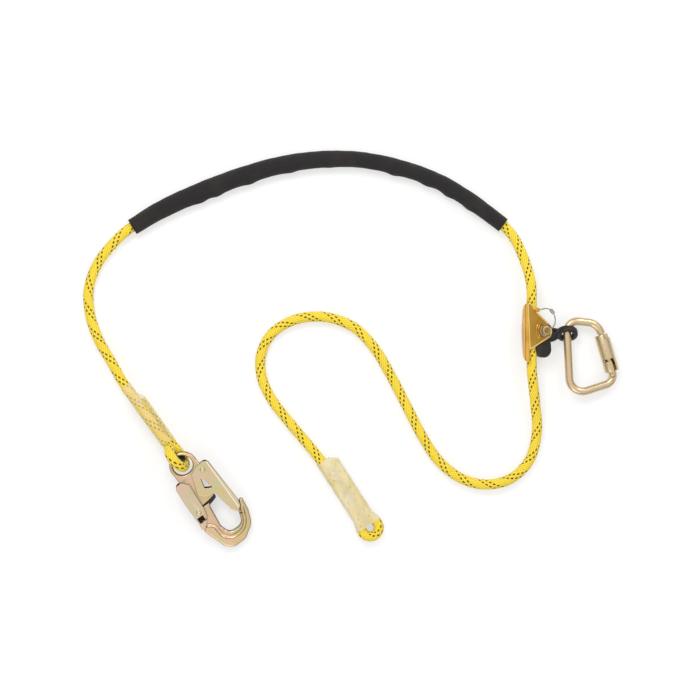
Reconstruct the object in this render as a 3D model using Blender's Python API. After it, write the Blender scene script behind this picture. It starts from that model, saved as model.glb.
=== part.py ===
"""Tree climbing lanyard: a rope with a double-action snap hook spliced into one end, a rope grab with a
cam and a twist-lock carabiner on its run, a chafe sleeve, and a small stopper eye at the other end.

It lies on a flat surface at z = 0. Metres, +Z up. Each fitting is modelled in its own frame, an empty.
"""

import math

import bpy
import bmesh
from mathutils import Matrix, Vector

MM = 0.001

# General fits
GAP = 0.3 * MM          # between pieces that touch
RUNNING = 0.4 * MM      # between pieces that slide or turn
OVERRUN = 2.0 * MM      # how far a cutter passes the wall it cuts
SEGMENTS = 20           # sides of a turned piece
MERGE = 0.001 * MM      # points nearer than this become one
CHAMFER = 0.5 * MM
ROUND_SHARE = 0.999     # of half a side, for an outline's fully rounded end

# Rope and its two sewn eyes
ROPE_DIAMETER = 12.7 * MM
ROPE_STEP = 38.0 * MM           # longest straight run of the rope's tube
FLOOR_LIFT = 0.05 * MM
SHRINK_WALL = 0.8 * MM
HOOK_LOOP_RADIUS = 14.8 * MM    # rope's centreline round the thimble
HOOK_LOOP_STEEPNESS = math.radians(72)
HOOK_LOOP_HEIGHT = 20.6 * MM    # middle of the loop above the floor
HOOK_TUBE_START = 21.0 * MM     # distances from the loop's middle, along the legs
HOOK_TAIL_END = 84.0 * MM
HOOK_TUBE_END = 109.0 * MM
HOOK_TUBE_SIDESTEP = 1.3 * MM
STOP_LOOP_RADIUS = 10.9 * MM
STOP_TUBE_START = 20.0 * MM
STOP_TAIL_END = 95.0 * MM
STOP_TUBE_END = 101.0 * MM
STOP_LOOP_CENTRE = Vector((1.5 * MM, -222.9 * MM, 0.0))
STOP_LOOP_HEADING = math.radians(122.8)     # from the loop back along its legs
THIMBLE_WALL = 1.3 * MM
THIMBLE_CUP = math.radians(48)              # half of the arc by which it cups the rope
THIMBLE_SWEEP = math.radians(108)           # half of its way round the loop

# Chafe sleeve of flat tubular webbing
SLEEVE_WIDTH = 20.6 * MM
SLEEVE_HEIGHT = 17.0 * MM
SLEEVE_WALL = 1.4 * MM
SLEEVE_WAVE = 1.3 * MM
SLEEVE_WAVE_LENGTH = 46.0 * MM
SLEEVE_STEP = 17.0 * MM
SLEEVE_SIDES = 12

# Free stretch of the rope, from the hook's tube to the stopper's tube
SLEEVE_ROPE_HEIGHT = SLEEVE_HEIGHT / 2 + FLOOR_LIFT
ROUTE_TO_SLEEVE = [
    (-0.3200, -0.0165, 0.0158), (-0.3374, 0.0130, 0.0093), (-0.3480, 0.0445, 0.0066),
    (-0.3491, 0.0761, 0.0066), (-0.3391, 0.1044, 0.0066), (-0.3244, 0.1250, 0.0075),
]
ROUTE_IN_SLEEVE = [
    (-0.3002, 0.1485, 0.00855), (-0.2593, 0.1731, 0.00855), (-0.2087, 0.1961, 0.00855),
    (-0.1589, 0.2149, 0.00855), (-0.1100, 0.2290, 0.00855), (-0.0609, 0.2361, 0.00855),
    (-0.0114, 0.2357, 0.00855), (0.0380, 0.2260, 0.00855), (0.0869, 0.2084, 0.00855),
    (0.1279, 0.1837, 0.00855), (0.1675, 0.1540, 0.00855),
]
ROUTE_TO_GRAB = [
    (0.1813, 0.1375, 0.0095), (0.1940, 0.1090, 0.0140), (0.2008, 0.0835, 0.0190),
]
ROUTE_IN_GRAB = [
    (0.2021, 0.0665, 0.0205), (0.2021, 0.0605, 0.0205), (0.2021, 0.0225, 0.0205),
    (0.2021, -0.0205, 0.0205), (0.2021, -0.0265, 0.0205),
]
ROUTE_TO_STOP = [
    (0.2042, -0.0455, 0.0190), (0.2071, -0.0700, 0.0140), (0.2095, -0.1014, 0.0085),
    (0.2005, -0.1384, 0.0066), (0.1761, -0.1624, 0.0066), (0.1451, -0.1691, 0.0066),
    (0.1156, -0.1617, 0.0066), (0.0884, -0.1410, 0.0066), (0.0676, -0.1107, 0.0066),
    (0.0469, -0.0710, 0.0066), (0.0260, -0.0307, 0.0066), (0.0060, 0.0023, 0.0066),
    (-0.0190, 0.0271, 0.0066), (-0.0547, 0.0397, 0.0066), (-0.0923, 0.0363, 0.0066),
    (-0.1211, 0.0188, 0.0066), (-0.1345, -0.0079, 0.0066), (-0.1335, -0.0357, 0.0066),
    (-0.1220, -0.0616, 0.0066), (-0.1002, -0.0903, 0.0065), (-0.0775, -0.1173, 0.0068),
]

# Snap hook, in a frame with x down its length from the eye's middle and y toward the gate
HOOK_EYE = Vector((-230.4 * MM, -145.4 * MM, 0.0))
HOOK_HEADING = math.radians(-54.4)
HOOK_REACH = 117.7 * MM         # eye's middle to the outside of the bowl
HOOK_THICKNESS = 10.0 * MM
HOOK_EDGE = 2.8 * MM
EYE_OUTER = 18.0 * MM
EYE_HOLE_LENGTH = 26.0 * MM
EYE_HOLE_WIDTH = 25.0 * MM
EYE_TO_LOOP = 14.0 * MM         # rope loop's middle to the eye's middle
SHEET_SHARE = 0.01444           # of the reach, as are the rivets and the coils
RIVET_SHARE = 0.02124
RIVET_HEAD_SHARE = 0.03653
COIL_WIRE_SHARE = 0.00935
COIL_MIDDLE_SHARE = 0.03229
SHEET = SHEET_SHARE * HOOK_REACH    # pressed channels of the gate and the lever
GATE_FREE = 0.4 * MM            # body to the gate's cheeks
RIVET_RADIUS = RIVET_SHARE * HOOK_REACH
RIVET_HEAD_RADIUS = RIVET_HEAD_SHARE * HOOK_REACH
RIVET_HEAD_HEIGHT = 1.3 * MM
LUG_RADIUS = 8.4 * MM           # round the gate's rivet
COIL_WIRE = COIL_WIRE_SHARE * HOOK_REACH
COIL_MIDDLE_RADIUS = COIL_MIDDLE_SHARE * HOOK_REACH
COIL_TURNS = 3
LOCK_COIL_TURNS = 1
GATE_RIVET_SHARES = (0.143, 0.144)
LOCK_RIVET_SHARES = (0.492, -0.154)
# Corners as shares of HOOK_REACH: along, across, fillet radius
BODY_SHARES = [
    (0.255, -0.135, 0.25), (0.561, -0.160, 0.08), (0.697, -0.234, 0.07), (0.850, -0.229, 0.11),
    (1.000, -0.119, 0.125), (1.000, 0.102, 0.125), (0.918, 0.229, 0.11), (0.782, 0.285, 0.09),
    (0.629, 0.306, 0.03), (0.629, 0.262, 0.016), (0.686, 0.238, 0.012), (0.748, 0.186, 0.024),
    (0.862, 0.144, 0.085), (0.862, -0.017, 0.085), (0.748, -0.051, 0.05), (0.500, -0.020, 0.03),
    (0.452, 0.080, 0.015), (0.395, 0.070, 0.02), (0.340, -0.068, 0.04), (0.214, -0.055, 0.04),
]
GATE_SHARES = [
    (0.075, 0.110, 0.03), (0.075, 0.212, 0.05), (0.112, 0.240, 0.03), (0.616, 0.258, 0.025),
    (0.676, 0.238, 0.02), (0.727, 0.187, 0.016), (0.663, 0.149, 0.05), (0.510, 0.116, 0.03),
    (0.425, 0.110, 0.025), (0.412, 0.021, 0.03), (0.344, -0.060, 0.018), (0.300, -0.045, 0.06),
    (0.116, 0.019, 0.03),
]
GATE_WINDOW_SHARES = [(0.208, 0.081, 0.01), (0.308, 0.060, 0.01), (0.336, 0.111, 0.01)]
GATE_TIP_SHARE = 0.612          # where the gate's back wall stops short of the nose
LEVER_SHARES = [
    (0.127, -0.120, 0.02), (0.127, -0.208, 0.045), (0.340, -0.222, 0.3), (0.600, -0.224, 0.06),
    (0.680, -0.236, 0.02), (0.664, -0.185, 0.025), (0.590, -0.110, 0.05), (0.475, -0.081, 0.05),
    (0.350, -0.075, 0.05), (0.195, -0.062, 0.02),
]
LEVER_BACK_SHARE = 0.575        # where the lever's back wall ends
LEVER_WINDOW_SHARES = [(0.535, -0.135), (0.598, -0.135), (0.598, -0.200), (0.535, -0.200)]
CATCH_SHARES = [(0.539, -0.139), (0.594, -0.139), (0.594, -0.240), (0.539, -0.240)]
CATCH_DEPTH = 7.0 * MM          # of the body's notch under the lever's window

# Rope grab, in a frame on the rope's axis: x toward the cam, y along the rope
GRAB_ORIGIN = Vector((202.1 * MM, 22.75 * MM, 20.5 * MM))
GRAB_TILT = math.radians(18)
GRAB_LENGTH = 75.0 * MM
SHELL_SHEET = 2.5 * MM
SHELL_HALF_WIDTH = 9.7 * MM
SHELL_BACK = 11.0 * MM          # rope's axis to the outside of the back
SHELL_BEND = 7.4 * MM
AXLE_OUT = 14.5 * MM            # rope's axis to the pin's
# Corners as shares of GRAB_LENGTH: across from the rope, along it from the pin, fillet radius
SHELL_SHARES = [
    (-0.20, 0.360, 0.0), (-0.105, 0.461, 0.04), (-0.072, 0.457, 0.03), (0.020, 0.330, 0.03), (0.296, 0.078, 0.05),
    (0.312, -0.020, 0.05), (0.290, -0.102, 0.05), (-0.062, -0.312, 0.03), (-0.114, -0.300, 0.04),
    (-0.114, -0.525, 0.01), (-0.20, -0.440, 0.0),
]
RIB_HEIGHT = 0.8 * MM
RIB_WIDTH = 1.8 * MM
RIB_RADII_SHARES = (0.115, 0.165)
RIB_ARC = (math.radians(118), math.radians(235))
CAM_FREE = 0.6 * MM             # shell's sheet to the cam, on each side
CAM_THICKNESS = 2 * (SHELL_HALF_WIDTH - SHELL_SHEET - CAM_FREE)
CAM_EDGE = 1.0 * MM
CAM_BOSS_RADIUS = 7.4 * MM
CAM_RANGE_RIDGES = 6
RIDGE_PITCH = 4.2 * MM
RIDGE_DEPTH = 0.7 * MM
# Corners as shares of GRAB_LENGTH, from the rope's axis and from the pin
CAM_SHARES = [
    (0.110, 0.040, 0.03), (0.028, -0.110, 0.04), (0.026, -0.340, 0.05), (0.100, -0.440, 0.06),
    (0.235, -0.452, 0.10), (0.318, -0.345, 0.09), (0.300, -0.215, 0.06), (0.270, 0.060, 0.06),
]
BUSH_WALL = 1.1 * MM
PIN_RADIUS = 3.9 * MM
PIN_BORE = 2.0 * MM
PIN_HEAD_RADIUS = 5.4 * MM
PIN_HEAD_HEIGHT = 4.5 * MM
PIN_COLLAR_RADIUS = 6.4 * MM
PIN_COLLAR_HEIGHT = 1.2 * MM
PIN_TAIL = 5.0 * MM
BALL_RADIUS = 1.5 * MM
BALL_PROUD = 0.45 * MM
BALL_CLEARANCE = 0.75 * MM      # the plates' holes pass the balls
BUTTON_RADIUS = 1.6 * MM
BUTTON_CAP_RADIUS = 2.9 * MM
BUTTON_CAP_HEIGHT = 1.6 * MM
BUTTON_PROUD = 1.5 * MM
BUTTON_DEPTH = 16.0 * MM
BUTTON_COIL_WIRE = 0.5 * MM
BUTTON_COIL_TURNS = 3
CABLE_DIAMETER = 1.8 * MM
CABLE_STEP = 5.4 * MM
# Cable route, in the grab's frame, from its anchor to the loop round the pin's head
CABLE_ROUTE = [
    (0.0036, 0.0256, 0.0122), (0.0094, 0.0266, 0.0126), (0.0150, 0.0272, 0.0136), (0.0196, 0.0255, 0.0146),
    (0.0230, 0.0215, 0.0150), (0.0252, 0.0150, 0.0148), (0.0252, 0.0085, 0.0140),
]
CABLE_LOOP_GAP = 0.6 * MM
CABLE_LOOP_RISE = 3.1 * MM      # above the plate
ANCHOR_RADIUS = 2.6 * MM
ANCHOR_HEIGHT = 4.0 * MM
ANCHOR_PLACE_SHARES = (0.040, 0.340)
FERRULE_WALL = 0.7 * MM
FERRULE_LENGTH = 6.0 * MM
FERRULE_PLACE_SHARE = 0.5

# Cam's arm and the ring that the carabiner hangs in
RING_CENTRE = Vector((246.6 * MM, 19.1 * MM, 13.35 * MM))
RING_STEEPNESS = math.radians(55)
RING_HOLE = 7.7 * MM
RING_OUTER = 14.0 * MM
RING_THICKNESS = 6.0 * MM
RING_EDGE = 2.0 * MM
ARM_ROOT_WIDTH = 18.0 * MM
ARM_END_WIDTH = 17.0 * MM
ARM_ROOT_THICKNESS = 9.0 * MM
ARM_ROOT_DROP = 7.2 * MM        # middle of the arm's root below the pin, along the rope
ARM_STRAIGHT_SHARE = 0.38       # of the arm's length, before it rises and twists

# Carabiner, in a frame on its long bar: x across to the gate, y up the bar
BAR_RADIUS = 5.0 * MM
CARABINER_HEADING = math.radians(2.9)
CARABINER_WIDTH = 43.3 * MM     # long bar to the top of the barrel's axis
CARABINER_DROP = 3.9 * MM       # top of the barrel below the ring's middle
GATE_LEAN = math.radians(13.4)  # barrel's axis from the long bar
TOP_RISE = 16.8 * MM
BOTTOM_BELOW = 24.5 * MM        # long bar's bottom corner below the hinge
CORNER_BELOW = 10.5 * MM        # short side's bottom corner below the hinge, along the gate
TOP_SLOPE = 4.2 * MM
CORNER_RADIUS_TOP = 11.0 * MM
CORNER_RADIUS_NOSE = 19.0 * MM
CORNER_RADIUS_BOTTOM = 20.0 * MM
CORNER_RADIUS_HINGE = 9.0 * MM
BARREL_RADIUS = 9.0 * MM
BARREL_LENGTH = 47.0 * MM
BARREL_BORE = 7.2 * MM
BARREL_COLLAR = 8.0 * MM
BARREL_CHAMFER = 0.7 * MM
HINGE_BELOW = 4.0 * MM          # hinge pin below the barrel
HINGE_PIN_RADIUS = 1.7 * MM
TONGUE_THICKNESS = 4.4 * MM
HINGE_POCKET = 6.2 * MM
GATE_WAIST = 4.2 * MM
GATE_SHOULDER = 3.2 * MM
NOSE_RADIUS = 3.2 * MM
NOSE_COVER = 4.4 * MM           # how far the barrel covers the nose
NOSE_NECK = 2.0 * MM            # nose that shows above the barrel
GUIDE_PIN_RADIUS = 1.2 * MM
GUIDE_PIN_UP = 14.5 * MM        # above the barrel's lower rim
GUIDE_PIN_ANGLE = math.radians(-142)
SLOT_ANGLES = (math.radians(-152), math.radians(-55))
SLOT_LEG_ANGLES = (math.radians(-80), math.radians(-55))
BARREL_COIL_WIRE = 1.1 * MM
BARREL_COIL_TURNS = 5
PLUNGER_RADIUS = 1.7 * MM
PLUNGER_LENGTH = 5.0 * MM
PLUNGER_BORE_LENGTH = 14.0 * MM
PLUNGER_COIL_WIRE = 0.5 * MM
PLUNGER_COIL_TURNS = 3

ROPE_RADIUS = ROPE_DIAMETER / 2
LEG_GAP = ROPE_DIAMETER + GAP


def clear_scene():
    for obj in list(bpy.data.objects):
        bpy.data.objects.remove(obj, do_unlink=True)


def material(name, colour, roughness, metallic):
    made = bpy.data.materials.new(name)
    made.use_nodes = True
    shader = made.node_tree.nodes["Principled BSDF"]
    shader.inputs["Base Color"].default_value = (*colour, 1.0)
    shader.inputs["Roughness"].default_value = roughness
    shader.inputs["Metallic"].default_value = metallic
    made.diffuse_color = (*colour, 1.0)
    return made


def frame(name, origin, turn):
    """An empty that carries the pieces of one fitting."""
    made = bpy.data.objects.new(name, None)
    made.matrix_world = Matrix.Translation(origin) @ turn.to_4x4()
    bpy.context.scene.collection.objects.link(made)
    return made


def piece(name, bm, parent=None, colour=None, pivot=(0.0, 0.0, 0.0)):
    """Object from a bmesh in its parent's frame, with its origin at the pivot."""
    bmesh.ops.remove_doubles(bm, verts=bm.verts, dist=MERGE)
    bmesh.ops.recalc_face_normals(bm, faces=bm.faces)
    bmesh.ops.translate(bm, verts=bm.verts, vec=-Vector(pivot))
    mesh = bpy.data.meshes.new(name)
    bm.to_mesh(mesh)
    bm.free()
    mesh.shade_smooth()
    mesh.set_sharp_from_angle(angle=math.radians(35))
    made = bpy.data.objects.new(name, mesh)
    bpy.context.scene.collection.objects.link(made)
    made.location = pivot
    made.parent = parent
    if colour:
        mesh.materials.append(colour)
    return made


def boolean(target, operation, tools):
    """Applies each tool to the target in turn, and hides the tool."""
    for tool in tools:
        step = target.modifiers.new(tool.name, "BOOLEAN")
        step.operation = operation
        step.object = tool
        step.solver = "EXACT"
        tool.hide_render = True
        tool.display_type = "WIRE"
        tool.parent = target.parent
    return target


def bend(corners):
    """Closed outline from corners (x, y, fillet radius), each rounded by an arc.

    A fillet keeps to its half of a side, or has the whole side where the next corner is sharp.
    """
    points = []
    count = len(corners)
    for index, (x, y, radius) in enumerate(corners):
        here = Vector((x, y))
        before = Vector(corners[index - 1][:2]) - here
        after = Vector(corners[(index + 1) % count][:2]) - here
        shared = [2 if corners[other % count][2] > 0 else 1 for other in (index - 1, index + 1)]
        room = min(before.length / shared[0], after.length / shared[1])
        before.normalize()
        after.normalize()
        half = before.angle(after) / 2
        if radius <= 0 or half > math.radians(88):
            points.append(here)
            continue
        reach = min(radius / math.tan(half), room)
        radius = reach * math.tan(half)
        centre = here + (before + after).normalized() * radius / math.sin(half)
        start = here + before * reach - centre
        turn = math.pi - 2 * half
        side = 1 if after.x * before.y - after.y * before.x > 0 else -1
        steps = max(1, math.ceil(turn / math.radians(30)))
        for step in range(steps + 1):
            spin = side * turn * step / steps
            points.append(centre + Vector((
                start.x * math.cos(spin) - start.y * math.sin(spin),
                start.x * math.sin(spin) + start.y * math.cos(spin),
            )))
    return [(p.x, p.y) for p in points]


def scaled(shares, size):
    return [tuple(value * size for value in corner) for corner in shares]


def circle(x, y, radius, segments=SEGMENTS):
    turns = [2 * math.pi * i / segments for i in range(segments)]
    return [(x + radius * math.cos(t), y + radius * math.sin(t)) for t in turns]


def plate(loops, low, high, edge=0.0, edge_steps=0):
    """Filled outline with holes in x-y, from z low to z high, its rims bevelled by edge."""
    data = bpy.data.curves.new("outline", "CURVE")
    data.dimensions = "2D"
    data.fill_mode = "BOTH"
    data.extrude = (high - low) / 2 - edge
    data.bevel_depth = edge
    data.bevel_resolution = edge_steps
    data.offset = -edge
    for loop in loops:
        spline = data.splines.new("POLY")
        spline.points.add(len(loop) - 1)
        for point, (x, y) in zip(spline.points, loop):
            point.co = (x, y, 0.0, 1.0)
        spline.use_cyclic_u = True
    guide = bpy.data.objects.new("outline", data)
    bpy.context.scene.collection.objects.link(guide)
    graph = bpy.context.evaluated_depsgraph_get()
    mesh = bpy.data.meshes.new_from_object(guide.evaluated_get(graph))
    bm = bmesh.new()
    bm.from_mesh(mesh)
    bpy.data.objects.remove(guide, do_unlink=True)
    bmesh.ops.remove_doubles(bm, verts=bm.verts, dist=MERGE)
    bmesh.ops.translate(bm, verts=bm.verts, vec=(0.0, 0.0, (low + high) / 2))
    return bm


def loft(rings):
    """Skin over rings of points, with a flat cap at each end."""
    bm = bmesh.new()
    made = [[bm.verts.new(point) for point in ring] for ring in rings]
    for one, two in zip(made, made[1:]):
        skin(bm, one, two)
    bm.faces.new(made[0])
    bm.faces.new(made[-1])
    return bm


def turned(profile, along=Matrix.Identity(4), segments=SEGMENTS):
    """Solid of revolution about z from (radius, height) pairs.

    A pair at radius 0 closes it to a point, and a profile that ends where it starts makes a ring.
    """
    bm = bmesh.new()
    ring_shaped = profile[0] == profile[-1]
    rings = []
    for radius, height in profile[:-1] if ring_shaped else profile:
        if radius == 0:
            rings.append([bm.verts.new((0.0, 0.0, height))])
        else:
            rings.append([bm.verts.new((x, y, height)) for x, y in circle(0.0, 0.0, radius, segments)])
    if ring_shaped:
        rings.append(rings[0])
    for one, two in zip(rings, rings[1:]):
        skin(bm, one, two)
    for end in () if ring_shaped else (rings[0], rings[-1]):
        if len(end) > 1:
            bm.faces.new(end)
    bmesh.ops.transform(bm, verts=bm.verts, matrix=along)
    return bm


def skin(bm, one, two):
    """Faces between two rings, either of which may be a single point."""
    count = max(len(one), len(two))
    for i in range(count):
        j = (i + 1) % count
        corners = [one[i % len(one)], one[j % len(one)], two[j % len(two)], two[i % len(two)]]
        kept = [v for k, v in enumerate(corners) if v not in corners[:k]]
        if len(kept) > 2:
            bm.faces.new(kept)


def rod(radius, low, high, along=Matrix.Identity(4), chamfer=0.0):
    profile = [(radius, low), (radius, high)]
    if chamfer:
        profile = [
            (radius - chamfer, low), (radius, low + chamfer), (radius, high - chamfer), (radius - chamfer, high)
        ]
    return turned(profile, along)


def tube(inner, outer, low, high, along=Matrix.Identity(4)):
    return turned([(inner, low), (outer, low), (outer, high), (inner, high), (inner, low)], along)


def block(low, high):
    """Box between two opposite corners."""
    bm = bmesh.new()
    bmesh.ops.create_cube(bm, size=1.0)
    for vert in bm.verts:
        vert.co = [high[k] if vert.co[k] > 0 else low[k] for k in range(3)]
    return bm


def sector(inner, outer, start, stop, low, high, along):
    """Slice of a ring between two angles, as a cutter."""
    steps = 6
    turns = [start + (stop - start) * i / steps for i in range(steps + 1)]
    outline = [(outer * math.cos(t), outer * math.sin(t)) for t in turns]
    outline += [(inner * math.cos(t), inner * math.sin(t)) for t in reversed(turns)]
    bm = loft([[(x, y, z) for x, y in outline] for z in (low, high)])
    bmesh.ops.transform(bm, verts=bm.verts, matrix=along)
    return bm


def smooth_line(points, step):
    """Points along a smooth curve through the given ones, no further apart than the step."""
    given = [Vector(p) for p in points]
    padded = [2 * given[0] - given[1]] + given + [2 * given[-1] - given[-2]]
    line = [given[0]]
    for p0, p1, p2, p3 in zip(padded, padded[1:], padded[2:], padded[3:]):
        t0, t1 = 0.0, (p1 - p0).length ** 0.5
        t2 = t1 + (p2 - p1).length ** 0.5
        t3 = t2 + (p3 - p2).length ** 0.5
        count = max(1, math.ceil((p2 - p1).length / step))
        for i in range(1, count + 1):
            t = t1 + (t2 - t1) * i / count
            a1 = p0 * (t1 - t) / (t1 - t0) + p1 * (t - t0) / (t1 - t0)
            a2 = p1 * (t2 - t) / (t2 - t1) + p2 * (t - t1) / (t2 - t1)
            a3 = p2 * (t3 - t) / (t3 - t2) + p3 * (t - t2) / (t3 - t2)
            b1 = a1 * (t2 - t) / (t2 - t0) + a2 * (t - t0) / (t2 - t0)
            b2 = a2 * (t3 - t) / (t3 - t1) + a3 * (t - t1) / (t3 - t1)
            line.append(b1 * (t2 - t) / (t2 - t1) + b2 * (t - t1) / (t2 - t1))
    return line


def cord(name, line, diameter, colour, parent=None, sides=3, pivot=(0.0, 0.0, 0.0)):
    """Round tube along a line of points."""
    data = bpy.data.curves.new(name, "CURVE")
    data.dimensions = "3D"
    data.bevel_depth = diameter / 2
    data.bevel_resolution = sides
    data.use_fill_caps = True
    data.twist_mode = "MINIMUM"
    spline = data.splines.new("POLY")
    spline.points.add(len(line) - 1)
    for point, place in zip(spline.points, line):
        point.co = (*(Vector(place) - Vector(pivot)), 1.0)
    data.materials.append(colour)
    made = bpy.data.objects.new(name, data)
    bpy.context.scene.collection.objects.link(made)
    made.parent = parent
    made.location = pivot
    return made


def helix(radius, wire, low, high, turns, along=Matrix.Identity(4)):
    """Centreline of a coil spring about z, with points at a steady rate."""
    count = turns * 9
    line = []
    for i in range(count + 1):
        spin = 2 * math.pi * turns * i / count
        rise = low + wire / 2 + (high - low - wire) * i / count
        line.append(along @ Vector((radius * math.cos(spin), radius * math.sin(spin), rise)))
    return line


def loop_route(radius, centre, back, side, leg_half, tube_start, narrow):
    """Rope round an eye: (leg in, eye, leg out), from `tube_start` on one leg to the other.

    `back` points along the legs, `side` from the standing leg to the tail, `narrow` shifts the legs' middle.
    """
    points = []
    for degrees in range(-120, 121, 24):
        spin = math.radians(degrees)
        points.append(centre - back * radius * math.cos(spin) + side * radius * math.sin(spin))
    standing = centre + narrow + back * tube_start - side * leg_half
    tail = centre + narrow + back * tube_start + side * leg_half
    return [standing] + points + [tail]


def stadium(middle, across, up, half, radius, sides):
    """Ring of points round two circles `half` to either side of the middle."""
    ring = []
    for i in range(sides):
        spin = 2 * math.pi * (i + 0.5) / sides
        reach = radius * math.cos(spin) + math.copysign(half, math.cos(spin))
        ring.append(middle + across * reach + up * radius * math.sin(spin))
    return ring


def hollow(outer_rings, inner_rings):
    """Open tube with a wall, from matching rings."""
    bm = bmesh.new()
    outer = [[bm.verts.new(p) for p in ring] for ring in outer_rings]
    inner = [[bm.verts.new(p) for p in ring] for ring in inner_rings]
    for shell in (outer, inner):
        for one, two in zip(shell, shell[1:]):
            skin(bm, one, two)
    skin(bm, outer[0], inner[0])
    skin(bm, outer[-1], inner[-1])
    return bm


def hook_loop_axes():
    """Middle of the hook's rope loop, the way back along its legs, and from the standing leg to the tail."""
    heading = Vector((math.cos(HOOK_HEADING), math.sin(HOOK_HEADING), 0.0))
    level = Vector((-heading.y, heading.x, 0.0))
    centre = HOOK_EYE - heading * EYE_TO_LOOP + Vector((0, 0, HOOK_LOOP_HEIGHT))
    side = level * math.cos(HOOK_LOOP_STEEPNESS) - Vector((0, 0, 1)) * math.sin(HOOK_LOOP_STEEPNESS)
    tube_height = ROPE_RADIUS + GAP + SHRINK_WALL + FLOOR_LIFT + LEG_GAP / 2 * math.sin(HOOK_LOOP_STEEPNESS)
    shift = level * HOOK_TUBE_SIDESTEP + Vector((0, 0, tube_height - HOOK_LOOP_HEIGHT))
    return centre, -heading, side, shift


def stop_loop_axes():
    back = Vector((math.cos(STOP_LOOP_HEADING), math.sin(STOP_LOOP_HEADING), 0.0))
    side = Vector((back.y, -back.x, 0.0))
    height = ROPE_RADIUS + GAP + SHRINK_WALL + FLOOR_LIFT
    return STOP_LOOP_CENTRE + Vector((0, 0, height)), back, side, Vector((0, 0, 0))


def rope_line():
    """Whole rope, from the tail end in the hook's tube to the tail end in the stopper's."""
    margin = ROPE_RADIUS * 0.6
    centre, back, side, shift = hook_loop_axes()
    eye = loop_route(HOOK_LOOP_RADIUS, centre, back, side, LEG_GAP / 2, HOOK_TUBE_START - margin, shift)
    tail = [centre + shift + back * s + side * LEG_GAP / 2
            for s in (HOOK_TAIL_END, (HOOK_TAIL_END + HOOK_TUBE_START) / 2)]
    leg = [centre + shift + back * s - side * LEG_GAP / 2
           for s in ((HOOK_TAIL_END + HOOK_TUBE_START) / 2, HOOK_TAIL_END, HOOK_TUBE_END + margin)]
    start = tail + eye[::-1] + leg
    centre, back, side, shift = stop_loop_axes()
    eye = loop_route(STOP_LOOP_RADIUS, centre, back, side, LEG_GAP / 2, STOP_TUBE_START - margin, shift)
    leg = [centre + back * s - side * LEG_GAP / 2
           for s in (STOP_TUBE_END + margin, (STOP_TUBE_END + STOP_TUBE_START) / 2)]
    tail = [centre + back * s + side * LEG_GAP / 2
            for s in ((STOP_TAIL_END + STOP_TUBE_START) / 2, STOP_TAIL_END)]
    free = [Vector(p) for p in ROUTE_TO_SLEEVE + ROUTE_IN_SLEEVE + ROUTE_TO_GRAB + ROUTE_IN_GRAB + ROUTE_TO_STOP]
    return smooth_line(start + free + leg + eye + tail, ROPE_STEP)


def build_rope(yellow):
    cord("rope", rope_line(), ROPE_DIAMETER, yellow)


def shrink_tube(name, axes, tube_start, tail_end, tube_end, colour):
    """Clear heat-shrink over both legs, drawn in to one leg past the tail's end."""
    centre, back, side, shift = axes
    up = back.cross(side)
    outer_rings, inner_rings = [], []
    taper = ROPE_DIAMETER
    stations = [tube_start, tube_start + taper, (tube_start + tail_end) / 2, tail_end - taper, tail_end + 2 * GAP]
    if tube_end - tail_end > taper:
        stations += [tail_end + taper * 0.5, tail_end + taper, tube_end - GAP]
    stations.append(tube_end)
    for s in stations:
        over = min(1.0, max(0.0, (s - tail_end - 2 * GAP) / taper))
        half = LEG_GAP / 2 * (1 - over * over * (3 - 2 * over))
        middle = centre + shift + back * s - side * (LEG_GAP / 2 - half)
        inner_rings.append(stadium(middle, side, up, half, ROPE_RADIUS + GAP, 16))
        outer_rings.append(stadium(middle, side, up, half, ROPE_RADIUS + GAP + SHRINK_WALL, 16))
    piece(name, hollow(outer_rings, inner_rings), colour=colour)


def build_thimble(black):
    """Channel that cups the rope round the inside of the hook's loop."""
    centre, back, side, _ = hook_loop_axes()
    axle = back.cross(side)
    near = ROPE_RADIUS + 2 * GAP
    far = near + THIMBLE_WALL
    rings = []
    steps = 14
    for i in range(steps + 1):
        spin = THIMBLE_SWEEP * (2 * i / steps - 1)
        out = -back * math.cos(spin) + side * math.sin(spin)
        middle = centre + out * HOOK_LOOP_RADIUS
        turns = [THIMBLE_CUP * (2 * k / 6 - 1) for k in range(7)]
        ring = [middle - out * far * math.cos(t) + axle * far * math.sin(t) for t in turns]
        ring += [middle - out * near * math.cos(t) + axle * near * math.sin(t) for t in reversed(turns)]
        rings.append(ring)
    piece("hook_thimble", loft(rings), colour=black)


def build_sleeve(black):
    """Flat tubular webbing over the rope, with a wavy inner edge and open ends."""
    line = smooth_line(ROUTE_IN_SLEEVE, SLEEVE_STEP)
    travelled = [0.0]
    for one, two in zip(line, line[1:]):
        travelled.append(travelled[-1] + (two - one).length)
    up = Vector((0, 0, 1))
    outer_rings, inner_rings = [], []
    for i, middle in enumerate(line):
        way = (line[min(i + 1, len(line) - 1)] - line[max(i - 1, 0)]).normalized()
        out = way.cross(up) * -1
        wave = SLEEVE_WAVE * abs(math.sin(math.pi * travelled[i] / SLEEVE_WAVE_LENGTH))
        for rings, wall in ((outer_rings, 0.0), (inner_rings, SLEEVE_WALL)):
            ring = []
            for k in range(SLEEVE_SIDES):
                spin = 2 * math.pi * k / SLEEVE_SIDES
                width = SLEEVE_WIDTH / 2 - wall + (wave if math.cos(spin) < 0 else 0.0)
                ring.append(middle + out * width * math.cos(spin)
                            + up * (SLEEVE_HEIGHT / 2 - wall) * math.sin(spin))
            rings.append(ring)
    piece("chafe_sleeve", hollow(outer_rings, inner_rings), colour=black)


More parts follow.
